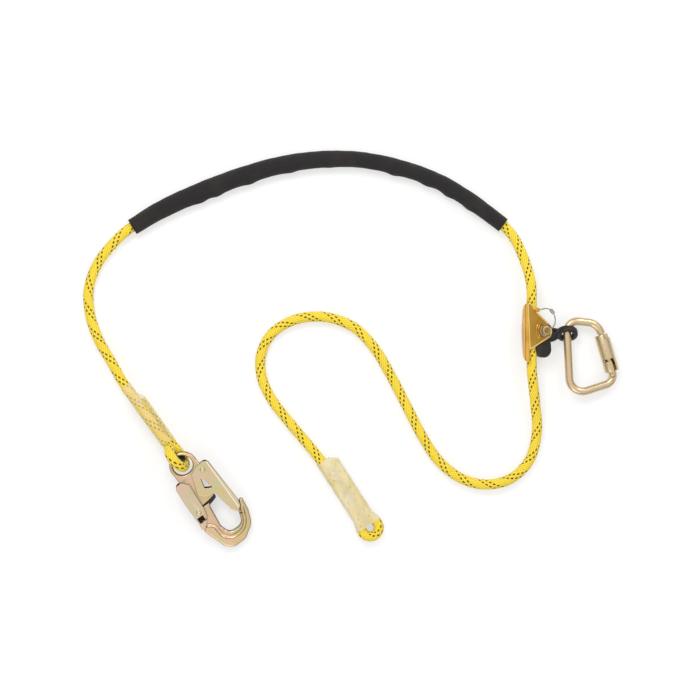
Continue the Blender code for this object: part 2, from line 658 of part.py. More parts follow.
def hook_place():
    """Frame of the snap hook: its eye is held up by the rope, and its bowl rests on the floor."""
    dip = math.asin((HOOK_LOOP_HEIGHT - HOOK_THICKNESS / 2 - FLOOR_LIFT) / (HOOK_REACH + EYE_TO_LOOP))
    turn = Matrix.Rotation(HOOK_HEADING, 3, "Z") @ Matrix.Rotation(dip, 3, "Y")
    height = HOOK_LOOP_HEIGHT - EYE_TO_LOOP * math.sin(dip)
    return frame("snap_hook_place", HOOK_EYE + Vector((0, 0, height)), turn)


def on_hook(shares):
    return tuple(share * HOOK_REACH for share in shares)


def build_hook_body(place, plated):
    rivet_x, rivet_y = on_hook(GATE_RIVET_SHARES)
    lock_x, lock_y = on_hook(LOCK_RIVET_SHARES)
    corners = [(-EYE_OUTER, -EYE_OUTER, EYE_OUTER * ROUND_SHARE)] + scaled(BODY_SHARES, HOOK_REACH) + [
        (rivet_x + LUG_RADIUS, 0.0, 0.0),
        (rivet_x + LUG_RADIUS, rivet_y + LUG_RADIUS, LUG_RADIUS),
        (rivet_x - LUG_RADIUS, rivet_y + LUG_RADIUS, LUG_RADIUS),
        (rivet_x - LUG_RADIUS, EYE_OUTER, 0.0),
        (-EYE_OUTER, EYE_OUTER, EYE_OUTER * ROUND_SHARE),
    ]
    hole_x, hole_y = EYE_HOLE_LENGTH / 2, EYE_HOLE_WIDTH / 2
    fillet = hole_y * ROUND_SHARE
    hole = bend([(-hole_x, -hole_y, fillet), (hole_x, -hole_y, fillet), (hole_x, hole_y, fillet),
                 (-hole_x, hole_y, fillet)])
    half = HOOK_THICKNESS / 2
    body = piece("hook_body", plate([bend(corners), hole], -half, half, HOOK_EDGE, 1), place, plated)
    cutters = []
    for name, x, y in (("gate", rivet_x, rivet_y), ("lock", lock_x, lock_y)):
        spot = Matrix.Translation((x, y, 0.0))
        cutters.append(piece(f"{name}_rivet_hole", rod(RIVET_RADIUS + GAP, -half - OVERRUN, half + OVERRUN, spot)))
    spot = Matrix.Translation((rivet_x, rivet_y, 0.0))
    pocket = COIL_MIDDLE_RADIUS + COIL_WIRE / 2 + GAP
    cutters.append(piece("gate_spring_pocket", rod(pocket, half - coil_room(COIL_TURNS), half + OVERRUN, spot)))
    catch = plate([scaled(CATCH_SHARES, HOOK_REACH)], half - CATCH_DEPTH, half + OVERRUN)
    cutters.append(piece("catch_notch", catch))
    return boolean(body, "DIFFERENCE", cutters)


def coil_room(turns):
    """Height that a close coil of the hook's springs takes."""
    return (turns + 1) * (COIL_WIRE + GAP / 2) + GAP


def channel(name, outline, holes, half, walls, place, colour, pivot):
    """Pressed channel: two cheeks with the outline, joined only where the inner cutters leave a back."""
    made = piece(name, plate([outline] + holes, -half - SHEET, half + SHEET), place, colour, pivot)
    inner = piece(name + "_inside", plate([walls], -half, half))
    return boolean(made, "DIFFERENCE", [inner])


def build_hook_gate(place, plated):
    rivet = on_hook(GATE_RIVET_SHARES)
    outline = bend(scaled(GATE_SHARES, HOOK_REACH))
    window = bend(scaled(GATE_WINDOW_SHARES, HOOK_REACH))
    back_low = (GATE_SHARES[2][0] * HOOK_REACH, GATE_SHARES[2][1] * HOOK_REACH - SHEET)
    back_high = (GATE_TIP_SHARE * HOOK_REACH, GATE_SHARES[3][1] * HOOK_REACH - SHEET)
    far = HOOK_REACH
    inside = [(-far / 4, back_low[1]), back_low, back_high, (back_high[0], far / 2), (far, far / 2),
              (far, -far / 2), (-far / 4, -far / 2)]
    half = HOOK_THICKNESS / 2 + GATE_FREE
    hole = circle(*rivet, RIVET_RADIUS + RUNNING)
    return channel("hook_gate", outline, [window, hole], half, inside, place, plated, (*rivet, 0.0))


def build_lock_lever(place, plated):
    rivet = on_hook(LOCK_RIVET_SHARES)
    outline = bend(scaled(LEVER_SHARES, HOOK_REACH))
    back = LEVER_SHARES[1][1] * HOOK_REACH + SHEET
    end = LEVER_BACK_SHARE * HOOK_REACH
    far = HOOK_REACH
    inside = [(-far / 4, far / 4), (-far / 4, back), (end, back), (end, -far / 2), (far, -far / 2), (far, far / 4)]
    half = lever_half()
    hole = circle(*rivet, RIVET_RADIUS + RUNNING)
    lever = channel("lock_lever", outline, [hole], half, inside, place, plated, (*rivet, 0.0))
    window = plate([scaled(LEVER_WINDOW_SHARES, HOOK_REACH)], half - GAP, half + SHEET + OVERRUN)
    return boolean(lever, "DIFFERENCE", [piece("lever_window", window)])


def lever_half():
    """Inside half width of the lever, which passes over the gate's cheeks."""
    return HOOK_THICKNESS / 2 + GATE_FREE + SHEET + RUNNING


def rivet(name, spot, outer, place, steel):
    """Rivet with a domed head outside each cheek."""
    low = outer + GAP
    top = low + RIVET_HEAD_HEIGHT
    dome = [(RIVET_RADIUS, low), (RIVET_HEAD_RADIUS, low), (RIVET_HEAD_RADIUS, low + RIVET_HEAD_HEIGHT / 3),
            (RIVET_HEAD_RADIUS * 0.7, low + RIVET_HEAD_HEIGHT * 0.8), (0.0, top)]
    profile = [(r, -z) for r, z in reversed(dome)] + dome
    piece(name, turned(profile, Matrix.Translation((*spot, 0.0))), place, steel)


def build_hook_fittings(place, steel, dark):
    gate_outer = HOOK_THICKNESS / 2 + GATE_FREE + SHEET
    gate_spot, lock_spot = on_hook(GATE_RIVET_SHARES), on_hook(LOCK_RIVET_SHARES)
    rivet("gate_rivet", gate_spot, gate_outer, place, steel)
    rivet("lock_rivet", lock_spot, lever_half() + SHEET, place, steel)
    half = HOOK_THICKNESS / 2
    springs = (("gate_spring", gate_spot, half - coil_room(COIL_TURNS) + GAP, half, COIL_TURNS),
               ("lock_spring", lock_spot, half + GAP, lever_half() - GAP, LOCK_COIL_TURNS))
    for name, spot, low, high, turns in springs:
        line = helix(COIL_MIDDLE_RADIUS, COIL_WIRE, low, high, turns, Matrix.Translation((*spot, 0.0)))
        cord(name, line, COIL_WIRE, dark, place, 1)


def grab_place():
    return frame("rope_grab_place", GRAB_ORIGIN, Matrix.Rotation(GRAB_TILT, 3, "Y"))


def build_grab_shell(place, gold):
    """Sheet bent to a U round the rope, trimmed to the outline of its plates."""
    half, back, sheet, bend_out = SHELL_HALF_WIDTH, SHELL_BACK, SHELL_SHEET, SHELL_BEND
    far = GRAB_LENGTH
    section = bend([(far, half, 0.0), (-back, half, bend_out), (-back, -half, bend_out), (far, -half, 0.0),
                    (far, sheet - half, 0.0), (sheet - back, sheet - half, bend_out - sheet),
                    (sheet - back, half - sheet, bend_out - sheet), (far, half - sheet, 0.0)])
    rings = [[(x, y, z) for x, z in section] for y in (-far, far)]
    shell = piece("grab_shell", loft(rings), place, gold)
    outline = bend(scaled(SHELL_SHARES, GRAB_LENGTH))
    trim = piece("shell_trim", plate([outline], -far / 2, far / 2))
    boolean(shell, "INTERSECT", [trim])
    arcs = []
    for index, share in enumerate(RIB_RADII_SHARES):
        radius = share * GRAB_LENGTH
        rib = sector(radius, radius + RIB_WIDTH, *RIB_ARC, half - sheet / 2, half + RIB_HEIGHT,
                     Matrix.Translation((AXLE_OUT, 0.0, 0.0)))
        arcs.append(piece(f"shell_rib_{index}", rib))
    boolean(shell, "UNION", arcs)
    hole = rod(pin_hole(), -half - OVERRUN, half + OVERRUN, Matrix.Translation((AXLE_OUT, 0.0, 0.0)))
    return boolean(shell, "DIFFERENCE", [piece("shell_pin_hole", hole)])


def pin_hole():
    return PIN_RADIUS + BALL_CLEARANCE


def ring_in_grab():
    """Ring's middle and its own axes, in the grab's frame."""
    back = Matrix.Rotation(-GRAB_TILT, 3, "Y")
    centre = back @ (RING_CENTRE - GRAB_ORIGIN)
    across = back @ Vector((1, 0, 0))
    slope = back @ Vector((0, math.cos(RING_STEEPNESS), math.sin(RING_STEEPNESS)))
    return centre, across, slope, across.cross(slope)


def build_grab_cam(place, black):
    """Cam that grips the rope, with an arm that twists into the carabiner's ring."""
    half = CAM_THICKNESS / 2
    lobe = bend(scaled(CAM_SHARES, GRAB_LENGTH))
    pivot = (AXLE_OUT, 0.0, 0.0)
    cam = piece("grab_cam", plate([lobe], -half, half, CAM_EDGE), place, black, pivot)
    boss = piece("cam_boss", rod(CAM_BOSS_RADIUS, -half, half, Matrix.Translation(pivot)))
    centre, across, slope, normal = ring_in_grab()
    arm = piece("cam_arm", loft(arm_rings(centre, across, slope, normal)))
    turn = Matrix((across, slope, normal)).transposed().to_4x4()
    thick, edge = RING_THICKNESS / 2, RING_EDGE
    profile = [(RING_HOLE, edge - thick), (RING_HOLE + edge * 0.3, edge * 0.3 - thick), (RING_HOLE + edge, -thick),
               (RING_OUTER - edge, -thick), (RING_OUTER - edge * 0.3, edge * 0.3 - thick),
               (RING_OUTER, edge - thick)]
    profile += [(r, -z) for r, z in reversed(profile)]
    profile.append(profile[0])
    ring = piece("cam_ring", turned(profile, Matrix.Translation(centre) @ turn, 28))
    boolean(cam, "UNION", [boss, arm, ring])
    bore = rod(PIN_RADIUS + RUNNING + BUSH_WALL + GAP + BALL_CLEARANCE, -half - OVERRUN, half + OVERRUN,
               Matrix.Translation(pivot))
    groove = piece("cam_groove", ridged_groove(Matrix.Rotation(math.radians(-90), 4, "X")))
    hole_through = rod(RING_HOLE - edge * 0.1, -RING_OUTER, RING_OUTER, Matrix.Translation(centre) @ turn)
    return boolean(cam, "DIFFERENCE", [piece("cam_bore", bore), groove, piece("cam_ring_hole", hole_through)])


def ridged_groove(along):
    """Turned cutter along the rope, whose waists leave the cam's gripping ridges."""
    low, high = -GRAB_LENGTH, GRAB_LENGTH / 2
    smooth = ROPE_RADIUS + RUNNING
    profile = [(smooth + RIDGE_DEPTH, low)]
    start = CAM_SHARES[2][1] * GRAB_LENGTH
    for i in range(CAM_RANGE_RIDGES):
        middle = start + (i + 0.5) * RIDGE_PITCH
        profile += [(smooth + RIDGE_DEPTH, middle - RIDGE_PITCH * 0.35), (smooth, middle),
                    (smooth + RIDGE_DEPTH, middle + RIDGE_PITCH * 0.35)]
    profile.append((smooth + RIDGE_DEPTH, high))
    return turned(profile, along)


def arm_rings(centre, across, slope, normal):
    """Sections of the arm, from the cam's flat body to the ring's rim, twisting on the way."""
    root = Vector((AXLE_OUT + CAM_BOSS_RADIUS / 2, -ARM_ROOT_DROP, 0.0))
    end = centre - across * (RING_HOLE + RING_OUTER) / 2
    rings = []
    steps = 5
    for i in range(steps + 1):
        t = i / steps
        middle = root.lerp(end, t)
        late = max(0.0, (t - ARM_STRAIGHT_SHARE) / (1 - ARM_STRAIGHT_SHARE))
        ease = late * late * (3 - 2 * late)
        middle.z = end.z * ease
        wide = Vector((0, 1, 0)).lerp(slope, ease).normalized()
        thin = Vector((0, 0, 1)).lerp(normal, ease).normalized()
        half_wide = (ARM_ROOT_WIDTH * (1 - ease) + ARM_END_WIDTH * ease) / 2
        half_thin = (ARM_ROOT_THICKNESS * (1 - ease) + (RING_THICKNESS - GAP) * ease) / 2
        corner = half_thin * 0.6
        shape = bend([(half_wide, half_thin, corner), (-half_wide, half_thin, corner),
                      (-half_wide, -half_thin, corner), (half_wide, -half_thin, corner)])
        rings.append([middle + wide * x + thin * y for x, y in shape])
    return rings


def build_axle(place, steel, brass, dark):
    """Ball-lock pin, its button and spring, and the bush that the cam turns on."""
    spot = Matrix.Translation((AXLE_OUT, 0.0, 0.0))
    pivot = (AXLE_OUT, 0.0, 0.0)
    half = CAM_THICKNESS / 2
    bush_inner = PIN_RADIUS + BALL_CLEARANCE
    piece("cam_bush", tube(bush_inner, bush_inner + BUSH_WALL, -half, half, spot), place, brass, pivot)
    under = SHELL_HALF_WIDTH + GAP
    collar = under + PIN_COLLAR_HEIGHT
    top = under + PIN_HEAD_HEIGHT
    tip = -SHELL_HALF_WIDTH - PIN_TAIL
    well = BUTTON_CAP_RADIUS + RUNNING
    floor = top - BUTTON_CAP_HEIGHT - BUTTON_PROUD
    deep = floor - BUTTON_DEPTH
    ball_z = -SHELL_HALF_WIDTH - BALL_RADIUS - GAP
    profile = [(0.0, tip), (PIN_RADIUS * 0.6, tip), (PIN_RADIUS, tip + PIN_RADIUS * 0.4), (PIN_RADIUS, under),
               (PIN_COLLAR_RADIUS, under), (PIN_COLLAR_RADIUS, collar), (PIN_HEAD_RADIUS, collar),
               (PIN_HEAD_RADIUS, top - CHAMFER), (PIN_HEAD_RADIUS - CHAMFER, top), (well, top), (well, floor),
               (PIN_BORE, floor), (PIN_BORE, deep), (0.0, deep)]
    pin = piece("axle_pin", turned(profile, spot), place, steel, pivot)
    sockets = []
    for name, side in (("pin_ball_left", -1), ("pin_ball_right", 1)):
        middle = Vector((AXLE_OUT + side * (PIN_RADIUS + BALL_PROUD - BALL_RADIUS), 0.0, ball_z))
        bm = bmesh.new()
        bmesh.ops.create_icosphere(bm, subdivisions=2, radius=BALL_RADIUS)
        bmesh.ops.translate(bm, verts=bm.verts, vec=middle)
        piece(name, bm, place, steel, middle)
        bore = rod(BALL_RADIUS + GAP, -BALL_RADIUS - GAP - BALL_PROUD, PIN_RADIUS,
                   Matrix.Translation(middle) @ Matrix.Rotation(side * math.pi / 2, 4, "Y"))
        sockets.append(piece(name + "_socket", bore))
    boolean(pin, "DIFFERENCE", sockets)
    stem = BUTTON_RADIUS
    cap_low = top - BUTTON_CAP_HEIGHT + BUTTON_PROUD
    cap_top = cap_low + BUTTON_CAP_HEIGHT
    foot = deep + BUTTON_PROUD + GAP
    button = turned([(0.0, foot), (stem, foot), (stem, cap_low), (BUTTON_CAP_RADIUS, cap_low),
                     (BUTTON_CAP_RADIUS, cap_top - CHAMFER), (BUTTON_CAP_RADIUS - CHAMFER, cap_top), (0.0, cap_top)],
                    spot)
    piece("pin_button", button, place, dark, pivot)
    coil = helix((stem + BUTTON_CAP_RADIUS) / 2, BUTTON_COIL_WIRE, floor + GAP, cap_low - GAP, BUTTON_COIL_TURNS, spot)
    cord("button_spring", coil, BUTTON_COIL_WIRE, steel, place, 1)


def build_pin_cable(place, steel):
    """Wire that keeps the pin with the shell: anchor, cable with its end loop, and the crimped ferrule."""
    rise = SHELL_HALF_WIDTH + CABLE_LOOP_RISE
    loop_radius = PIN_COLLAR_RADIUS + CABLE_LOOP_GAP + CABLE_DIAMETER / 2
    loop = []
    for degrees in range(24, 325, 30):
        spin = math.radians(degrees)
        loop.append((AXLE_OUT + loop_radius * math.cos(spin), loop_radius * math.sin(spin), rise))
    line = smooth_line(CABLE_ROUTE, CABLE_STEP) + smooth_line(loop, CABLE_STEP)
    cord("pin_cable", line, CABLE_DIAMETER, steel, place, 2)
    start = Vector(CABLE_ROUTE[0])
    x, y = (share * GRAB_LENGTH for share in ANCHOR_PLACE_SHARES)
    low = SHELL_HALF_WIDTH + GAP
    anchor = piece("cable_anchor", rod(ANCHOR_RADIUS, low, low + ANCHOR_HEIGHT, Matrix.Translation((x, y, 0.0)),
                                       ANCHOR_RADIUS / 5), place, steel)
    way = (Vector(CABLE_ROUTE[1]) - start).normalized()
    turn = way.to_track_quat("Z", "Y").to_matrix().to_4x4()
    bore = rod(CABLE_DIAMETER / 2 + GAP, -GAP, ANCHOR_RADIUS * 2, Matrix.Translation(start) @ turn)
    boolean(anchor, "DIFFERENCE", [piece("anchor_bore", bore)])
    index = int(FERRULE_PLACE_SHARE * len(CABLE_ROUTE))
    spot = (Vector(CABLE_ROUTE[index]) + Vector(CABLE_ROUTE[index + 1])) / 2
    way = (Vector(CABLE_ROUTE[index + 1]) - Vector(CABLE_ROUTE[index])).normalized()
    turn = way.to_track_quat("Z", "Y").to_matrix().to_4x4()
    bore = CABLE_DIAMETER / 2 + 2 * GAP
    ferrule = tube(bore, bore + FERRULE_WALL, -FERRULE_LENGTH / 2, FERRULE_LENGTH / 2, Matrix.Translation(spot) @ turn)
    piece("cable_ferrule", ferrule, place, steel)


def carabiner_place():
    """Frame of the carabiner: its long bar lies in the ring, and its barrel rests on the floor."""
    top = Vector((CARABINER_WIDTH, -CARABINER_DROP))
    reach = top.x + math.sin(GATE_LEAN) * BARREL_LENGTH
    dip = math.asin((RING_CENTRE.z - BARREL_RADIUS - FLOOR_LIFT) / reach)
    turn = Matrix.Rotation(CARABINER_HEADING, 3, "Z") @ Matrix.Rotation(dip, 3, "Y")
    return frame("carabiner_place", RING_CENTRE, turn)


def gate_axis():
    """Hinge of the carabiner's gate, and the frame that runs from it up the barrel's axis."""
    way = Vector((-math.sin(GATE_LEAN), math.cos(GATE_LEAN), 0.0))
    hinge = Vector((CARABINER_WIDTH, -CARABINER_DROP, 0.0)) - way * (BARREL_LENGTH + HINGE_BELOW)
    out = Vector((way.y, -way.x, 0.0))
    turn = Matrix((out, out.cross(way) * -1, way)).transposed().to_4x4()
    return hinge, way, Matrix.Translation(hinge) @ turn


def build_carabiner_frame(place, plated):
    """Round bar bent to an offset D, with a tongue at the hinge and a nose at the gate."""
    hinge, way, along = gate_axis()
    tongue_end = hinge + way * BAR_RADIUS
    neck = hinge + way * (HINGE_BELOW + BARREL_LENGTH + NOSE_NECK)
    corners = [
        (neck, 0.0),
        (Vector((neck.x - (TOP_RISE - TOP_SLOPE - neck.y) * math.tan(GATE_LEAN), TOP_RISE - TOP_SLOPE, 0.0)),
         CORNER_RADIUS_NOSE),
        (Vector((0.0, TOP_RISE, 0.0)), CORNER_RADIUS_TOP),
        (Vector((0.0, hinge.y - BOTTOM_BELOW, 0.0)), CORNER_RADIUS_BOTTOM),
        (hinge - way * CORNER_BELOW, CORNER_RADIUS_HINGE),
        (tongue_end, 0.0),
    ]
    line = [corners[0][0]]
    for (before, rounded_before), (here, radius), (after, rounded_after) in zip(corners, corners[1:], corners[2:]):
        before = (before + here) / 2 if rounded_before else before
        after = (here + after) / 2 if rounded_after else after
        rounded = bend([(before.x, before.y, 0.0), (here.x, here.y, radius), (after.x, after.y, 0.0)])
        line += [Vector((x, y, 0.0)) for x, y in rounded[1:-1]]
    line.append(corners[-1][0])
    rings = []
    for i, middle in enumerate(line):
        before = (middle - line[max(i - 1, 0)]).normalized()
        after = (line[min(i + 1, len(line) - 1)] - middle).normalized()
        tangent = (before + after).normalized()
        side = Vector((tangent.y, -tangent.x, 0.0))
        stretch = 1 / max(0.8, tangent.dot(after if i == 0 else before))
        rings.append([middle + side * BAR_RADIUS * stretch * math.cos(t) + Vector((0, 0, 1)) * BAR_RADIUS * math.sin(t)
                      for t in (2 * math.pi * k / SEGMENTS for k in range(SEGMENTS))])
    bar = piece("carabiner_frame", loft(rings), place, plated)
    top = HINGE_BELOW + BARREL_LENGTH
    nose = rod(NOSE_RADIUS, top - NOSE_COVER, top + NOSE_NECK + BAR_RADIUS / 2, along, NOSE_RADIUS / 8)
    boolean(bar, "UNION", [piece("nose", nose)])
    flat = Matrix.Translation(hinge)
    cheeks = [piece(f"tongue_cheek_{k}", rod(HINGE_POCKET, low, high, flat)) for k, (low, high) in enumerate((
        (TONGUE_THICKNESS / 2, BAR_RADIUS + OVERRUN), (-BAR_RADIUS - OVERRUN, -TONGUE_THICKNESS / 2)))]
    pin = piece("hinge_hole_frame", rod(HINGE_PIN_RADIUS + GAP, -BAR_RADIUS, BAR_RADIUS, flat))
    round_end = piece("tongue_round", sector(BAR_RADIUS, BAR_RADIUS * 2, math.radians(20) + GATE_LEAN,
                                             math.radians(160) + GATE_LEAN, -BAR_RADIUS - OVERRUN,
                                             BAR_RADIUS + OVERRUN, flat))
    return boolean(bar, "DIFFERENCE", cheeks + [pin, round_end])


def build_carabiner_gate(place, plated, steel, dark):
    """Gate rod with its fork, the plunger that closes it, its hinge pin and its guide pin."""
    hinge, _, along = gate_axis()
    low, top = HINGE_BELOW, HINGE_BELOW + BARREL_LENGTH
    bar, waist = BAR_RADIUS, GATE_WAIST
    end = top - NOSE_COVER - RUNNING
    profile = [(0.0, -bar), (bar * 0.5, -bar * 0.87), (bar * 0.87, -bar * 0.5), (bar, 0.0),
               (bar, low + BARREL_COLLAR - RUNNING), (waist, low + BARREL_COLLAR),
               (waist, end - GATE_SHOULDER), (bar, end - GATE_SHOULDER), (bar, end), (0.0, end)]
    gate = piece("carabiner_gate", turned(profile, along), place, plated, hinge)
    flat = Matrix.Translation(hinge)
    slot = TONGUE_THICKNESS / 2 + RUNNING
    fork = piece("fork_slot", rod(HINGE_POCKET, -slot, slot, flat))
    pin_hole_cut = piece("hinge_hole_gate", rod(HINGE_PIN_RADIUS + GAP, -bar - OVERRUN, bar + OVERRUN, flat))
    bore_low = HINGE_POCKET - OVERRUN
    plunger_bore = piece("plunger_bore", rod(PLUNGER_RADIUS + GAP, bore_low, HINGE_POCKET + PLUNGER_BORE_LENGTH, along))
    guide_turn = along @ Matrix.Translation((0.0, 0.0, low + GUIDE_PIN_UP)) @ Matrix.Rotation(
        GUIDE_PIN_ANGLE, 4, "Z") @ Matrix.Rotation(math.pi / 2, 4, "Y")
    guide_hole = piece("guide_pin_hole", rod(GUIDE_PIN_RADIUS + GAP, waist / 3, bar + OVERRUN, guide_turn))
    boolean(gate, "DIFFERENCE", [fork, pin_hole_cut, plunger_bore, guide_hole])
    piece("gate_hinge_pin", rod(HINGE_PIN_RADIUS, -bar, bar, flat), place, steel)
    guide = rod(GUIDE_PIN_RADIUS, waist / 3 + GAP, BARREL_RADIUS - GAP, guide_turn)
    piece("barrel_guide_pin", guide, place, steel)
    start = bar + GAP
    plunger = rod(PLUNGER_RADIUS, start, start + PLUNGER_LENGTH, along, PLUNGER_RADIUS / 4)
    piece("gate_plunger", plunger, place, steel)
    coil = helix(PLUNGER_RADIUS - PLUNGER_COIL_WIRE / 2, PLUNGER_COIL_WIRE, start + PLUNGER_LENGTH + GAP,
                 HINGE_POCKET + PLUNGER_BORE_LENGTH - GAP, PLUNGER_COIL_TURNS, along)
    cord("plunger_spring", coil, PLUNGER_COIL_WIRE, dark, place, 1)


def build_barrel(place, plated, dark):
    """Locking sleeve: slotted at the nose, with a bayonet slot for the guide pin, over its spring."""
    hinge, _, along = gate_axis()
    low, top = HINGE_BELOW, HINGE_BELOW + BARREL_LENGTH
    outer, rim, cut = BARREL_RADIUS, BAR_RADIUS + RUNNING, BARREL_CHAMFER
    profile = [(rim, low), (outer - cut, low), (outer, low + cut), (outer, top - cut), (outer - cut, top), (rim, top),
               (rim, top - BARREL_COLLAR), (BARREL_BORE, top - BARREL_COLLAR), (BARREL_BORE, low + BARREL_COLLAR),
               (rim, low + BARREL_COLLAR), (rim, low)]
    barrel = piece("barrel", turned(profile, along, 24), place, plated, hinge)
    side = NOSE_RADIUS + RUNNING
    far = BARREL_RADIUS + OVERRUN
    slot = block((0.0, -far, top - NOSE_COVER - OVERRUN / 2), (far, side, top + OVERRUN))
    bmesh.ops.transform(slot, verts=slot.verts, matrix=along)
    pin_low = low + GUIDE_PIN_UP - GUIDE_PIN_RADIUS - RUNNING
    pin_high = low + GUIDE_PIN_UP + GUIDE_PIN_RADIUS + RUNNING
    around = sector(BAR_RADIUS / 2, far, *SLOT_ANGLES, pin_low, pin_high, along)
    leg = sector(BAR_RADIUS / 2, far, *SLOT_LEG_ANGLES, low - OVERRUN, pin_high - RUNNING / 2, along)
    boolean(barrel, "DIFFERENCE", [piece("nose_slot", slot), piece("bayonet_slot", around), piece("bayonet_leg", leg)])
    middle = (GATE_WAIST + BARREL_BORE) / 2
    start = pin_high + GAP
    coil = helix(middle, BARREL_COIL_WIRE, start, top - BARREL_COLLAR - GAP, BARREL_COIL_TURNS, along)
    cord("barrel_spring", coil, BARREL_COIL_WIRE, dark, place, 1)


def main():
    clear_scene()
    yellow = material("rope_yellow", (0.85, 0.68, 0.06), 0.8, 0.0)
    webbing = material("webbing_black", (0.03, 0.027, 0.03), 0.85, 0.0)
    shrink_hook = material("shrink_clear", (0.72, 0.60, 0.33), 0.35, 0.0)
    liner = material("liner_black", (0.05, 0.045, 0.04), 0.5, 0.0)
    plated = material("yellow_chromate", (0.62, 0.48, 0.28), 0.35, 0.9)
    plated_gate = material("yellow_chromate_sheet", (0.68, 0.53, 0.30), 0.32, 0.9)
    steel = material("bright_steel", (0.65, 0.64, 0.62), 0.3, 1.0)
    dark = material("spring_steel", (0.25, 0.24, 0.23), 0.4, 1.0)
    gold = material("gold_anodised", (0.72, 0.45, 0.09), 0.32, 0.9)
    black = material("black_oxide", (0.035, 0.03, 0.03), 0.5, 0.6)
    brass = material("bush_brass", (0.62, 0.45, 0.18), 0.4, 1.0)

    build_rope(yellow)
    build_sleeve(webbing)
    shrink_tube("hook_end_shrink", hook_loop_axes(), HOOK_TUBE_START, HOOK_TAIL_END, HOOK_TUBE_END, shrink_hook)
    shrink_tube("stop_end_shrink", stop_loop_axes(), STOP_TUBE_START, STOP_TAIL_END, STOP_TUBE_END, shrink_hook)
    build_thimble(liner)

    hook = hook_place()
    build_hook_body(hook, plated)
    build_hook_gate(hook, plated_gate)
    build_lock_lever(hook, plated_gate)
    build_hook_fittings(hook, steel, dark)

    grab = grab_place()
    build_grab_shell(grab, gold)
    build_grab_cam(grab, black)
    build_axle(grab, steel, brass, dark)
    build_pin_cable(grab, steel)

    carabiner = carabiner_place()
    build_carabiner_frame(carabiner, plated)
    build_carabiner_gate(carabiner, plated_gate, steel, dark)
    build_barrel(carabiner, plated_gate, dark)


main()
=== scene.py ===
# Looks of a tree climbing lanyard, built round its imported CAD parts. Metres, +Z up, seen from above.
import math

import bmesh
import bpy
import numpy as np
from mathutils import Matrix, Vector


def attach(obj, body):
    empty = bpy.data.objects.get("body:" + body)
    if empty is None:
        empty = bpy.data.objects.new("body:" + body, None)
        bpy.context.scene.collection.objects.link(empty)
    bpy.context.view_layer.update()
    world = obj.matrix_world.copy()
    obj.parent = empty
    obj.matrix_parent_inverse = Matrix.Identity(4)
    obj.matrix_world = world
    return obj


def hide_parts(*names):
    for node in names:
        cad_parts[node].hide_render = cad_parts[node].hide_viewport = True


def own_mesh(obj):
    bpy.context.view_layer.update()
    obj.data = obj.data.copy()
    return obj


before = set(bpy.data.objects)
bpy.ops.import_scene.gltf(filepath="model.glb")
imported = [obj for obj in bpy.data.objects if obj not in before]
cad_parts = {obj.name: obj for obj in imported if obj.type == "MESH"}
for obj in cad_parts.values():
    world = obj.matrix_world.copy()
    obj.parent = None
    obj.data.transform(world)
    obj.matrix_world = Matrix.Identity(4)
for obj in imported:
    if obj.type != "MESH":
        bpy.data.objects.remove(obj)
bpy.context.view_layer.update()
mm = 0.001
up = np.array([0.0, 0.0, 1.0])
print("frame loaded:", len(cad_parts), "nodes")


# Shader graphs

class Value:
    # a shader socket that is used in sums: mask * 2 + grain adds the Math nodes
    def __init__(self, graph, socket):
        self.graph, self.socket = graph, socket

    def maths(self, operation, *others):
        return self.graph.add("ShaderNodeMath", {"operation": operation}, [self, *others])

    def flipped(self, operation, other):
        # the same with the other value in front
        return self.graph.add("ShaderNodeMath", {"operation": operation}, [other, self])

    def __add__(self, other):
        return self.maths("ADD", other)

    def __sub__(self, other):
        return self.maths("SUBTRACT", other)

    def __mul__(self, other):
        return self.maths("MULTIPLY", other)

    def __truediv__(self, other):
        return self.maths("DIVIDE", other)

    def __pow__(self, other):
        return self.maths("POWER", other)

    def __mod__(self, other):
        return self.maths("FLOORED_MODULO", other)

    def __rsub__(self, other):
        return self.flipped("SUBTRACT", other)

    __radd__ = __add__
    __rmul__ = __mul__

    def sine(self):
        return self.maths("SINE")

    def absolute(self):
        return self.maths("ABSOLUTE")

    def floor(self):
        return self.maths("FLOOR")

    def part(self):
        return self.maths("FRACT")

    def below(self, limit):
        return self.maths("LESS_THAN", limit)

    def over(self, limit):
        return self.maths("GREATER_THAN", limit)

    def between(self, low, high, start=0.0, end=1.0):
        # start at low and below, end at high and over, and straight from one to the other
        # start at low and below, end at high and over, and straight from one to the other
        return self.graph.add("ShaderNodeMapRange", {"clamp": True}, [self, low, high, start, end])


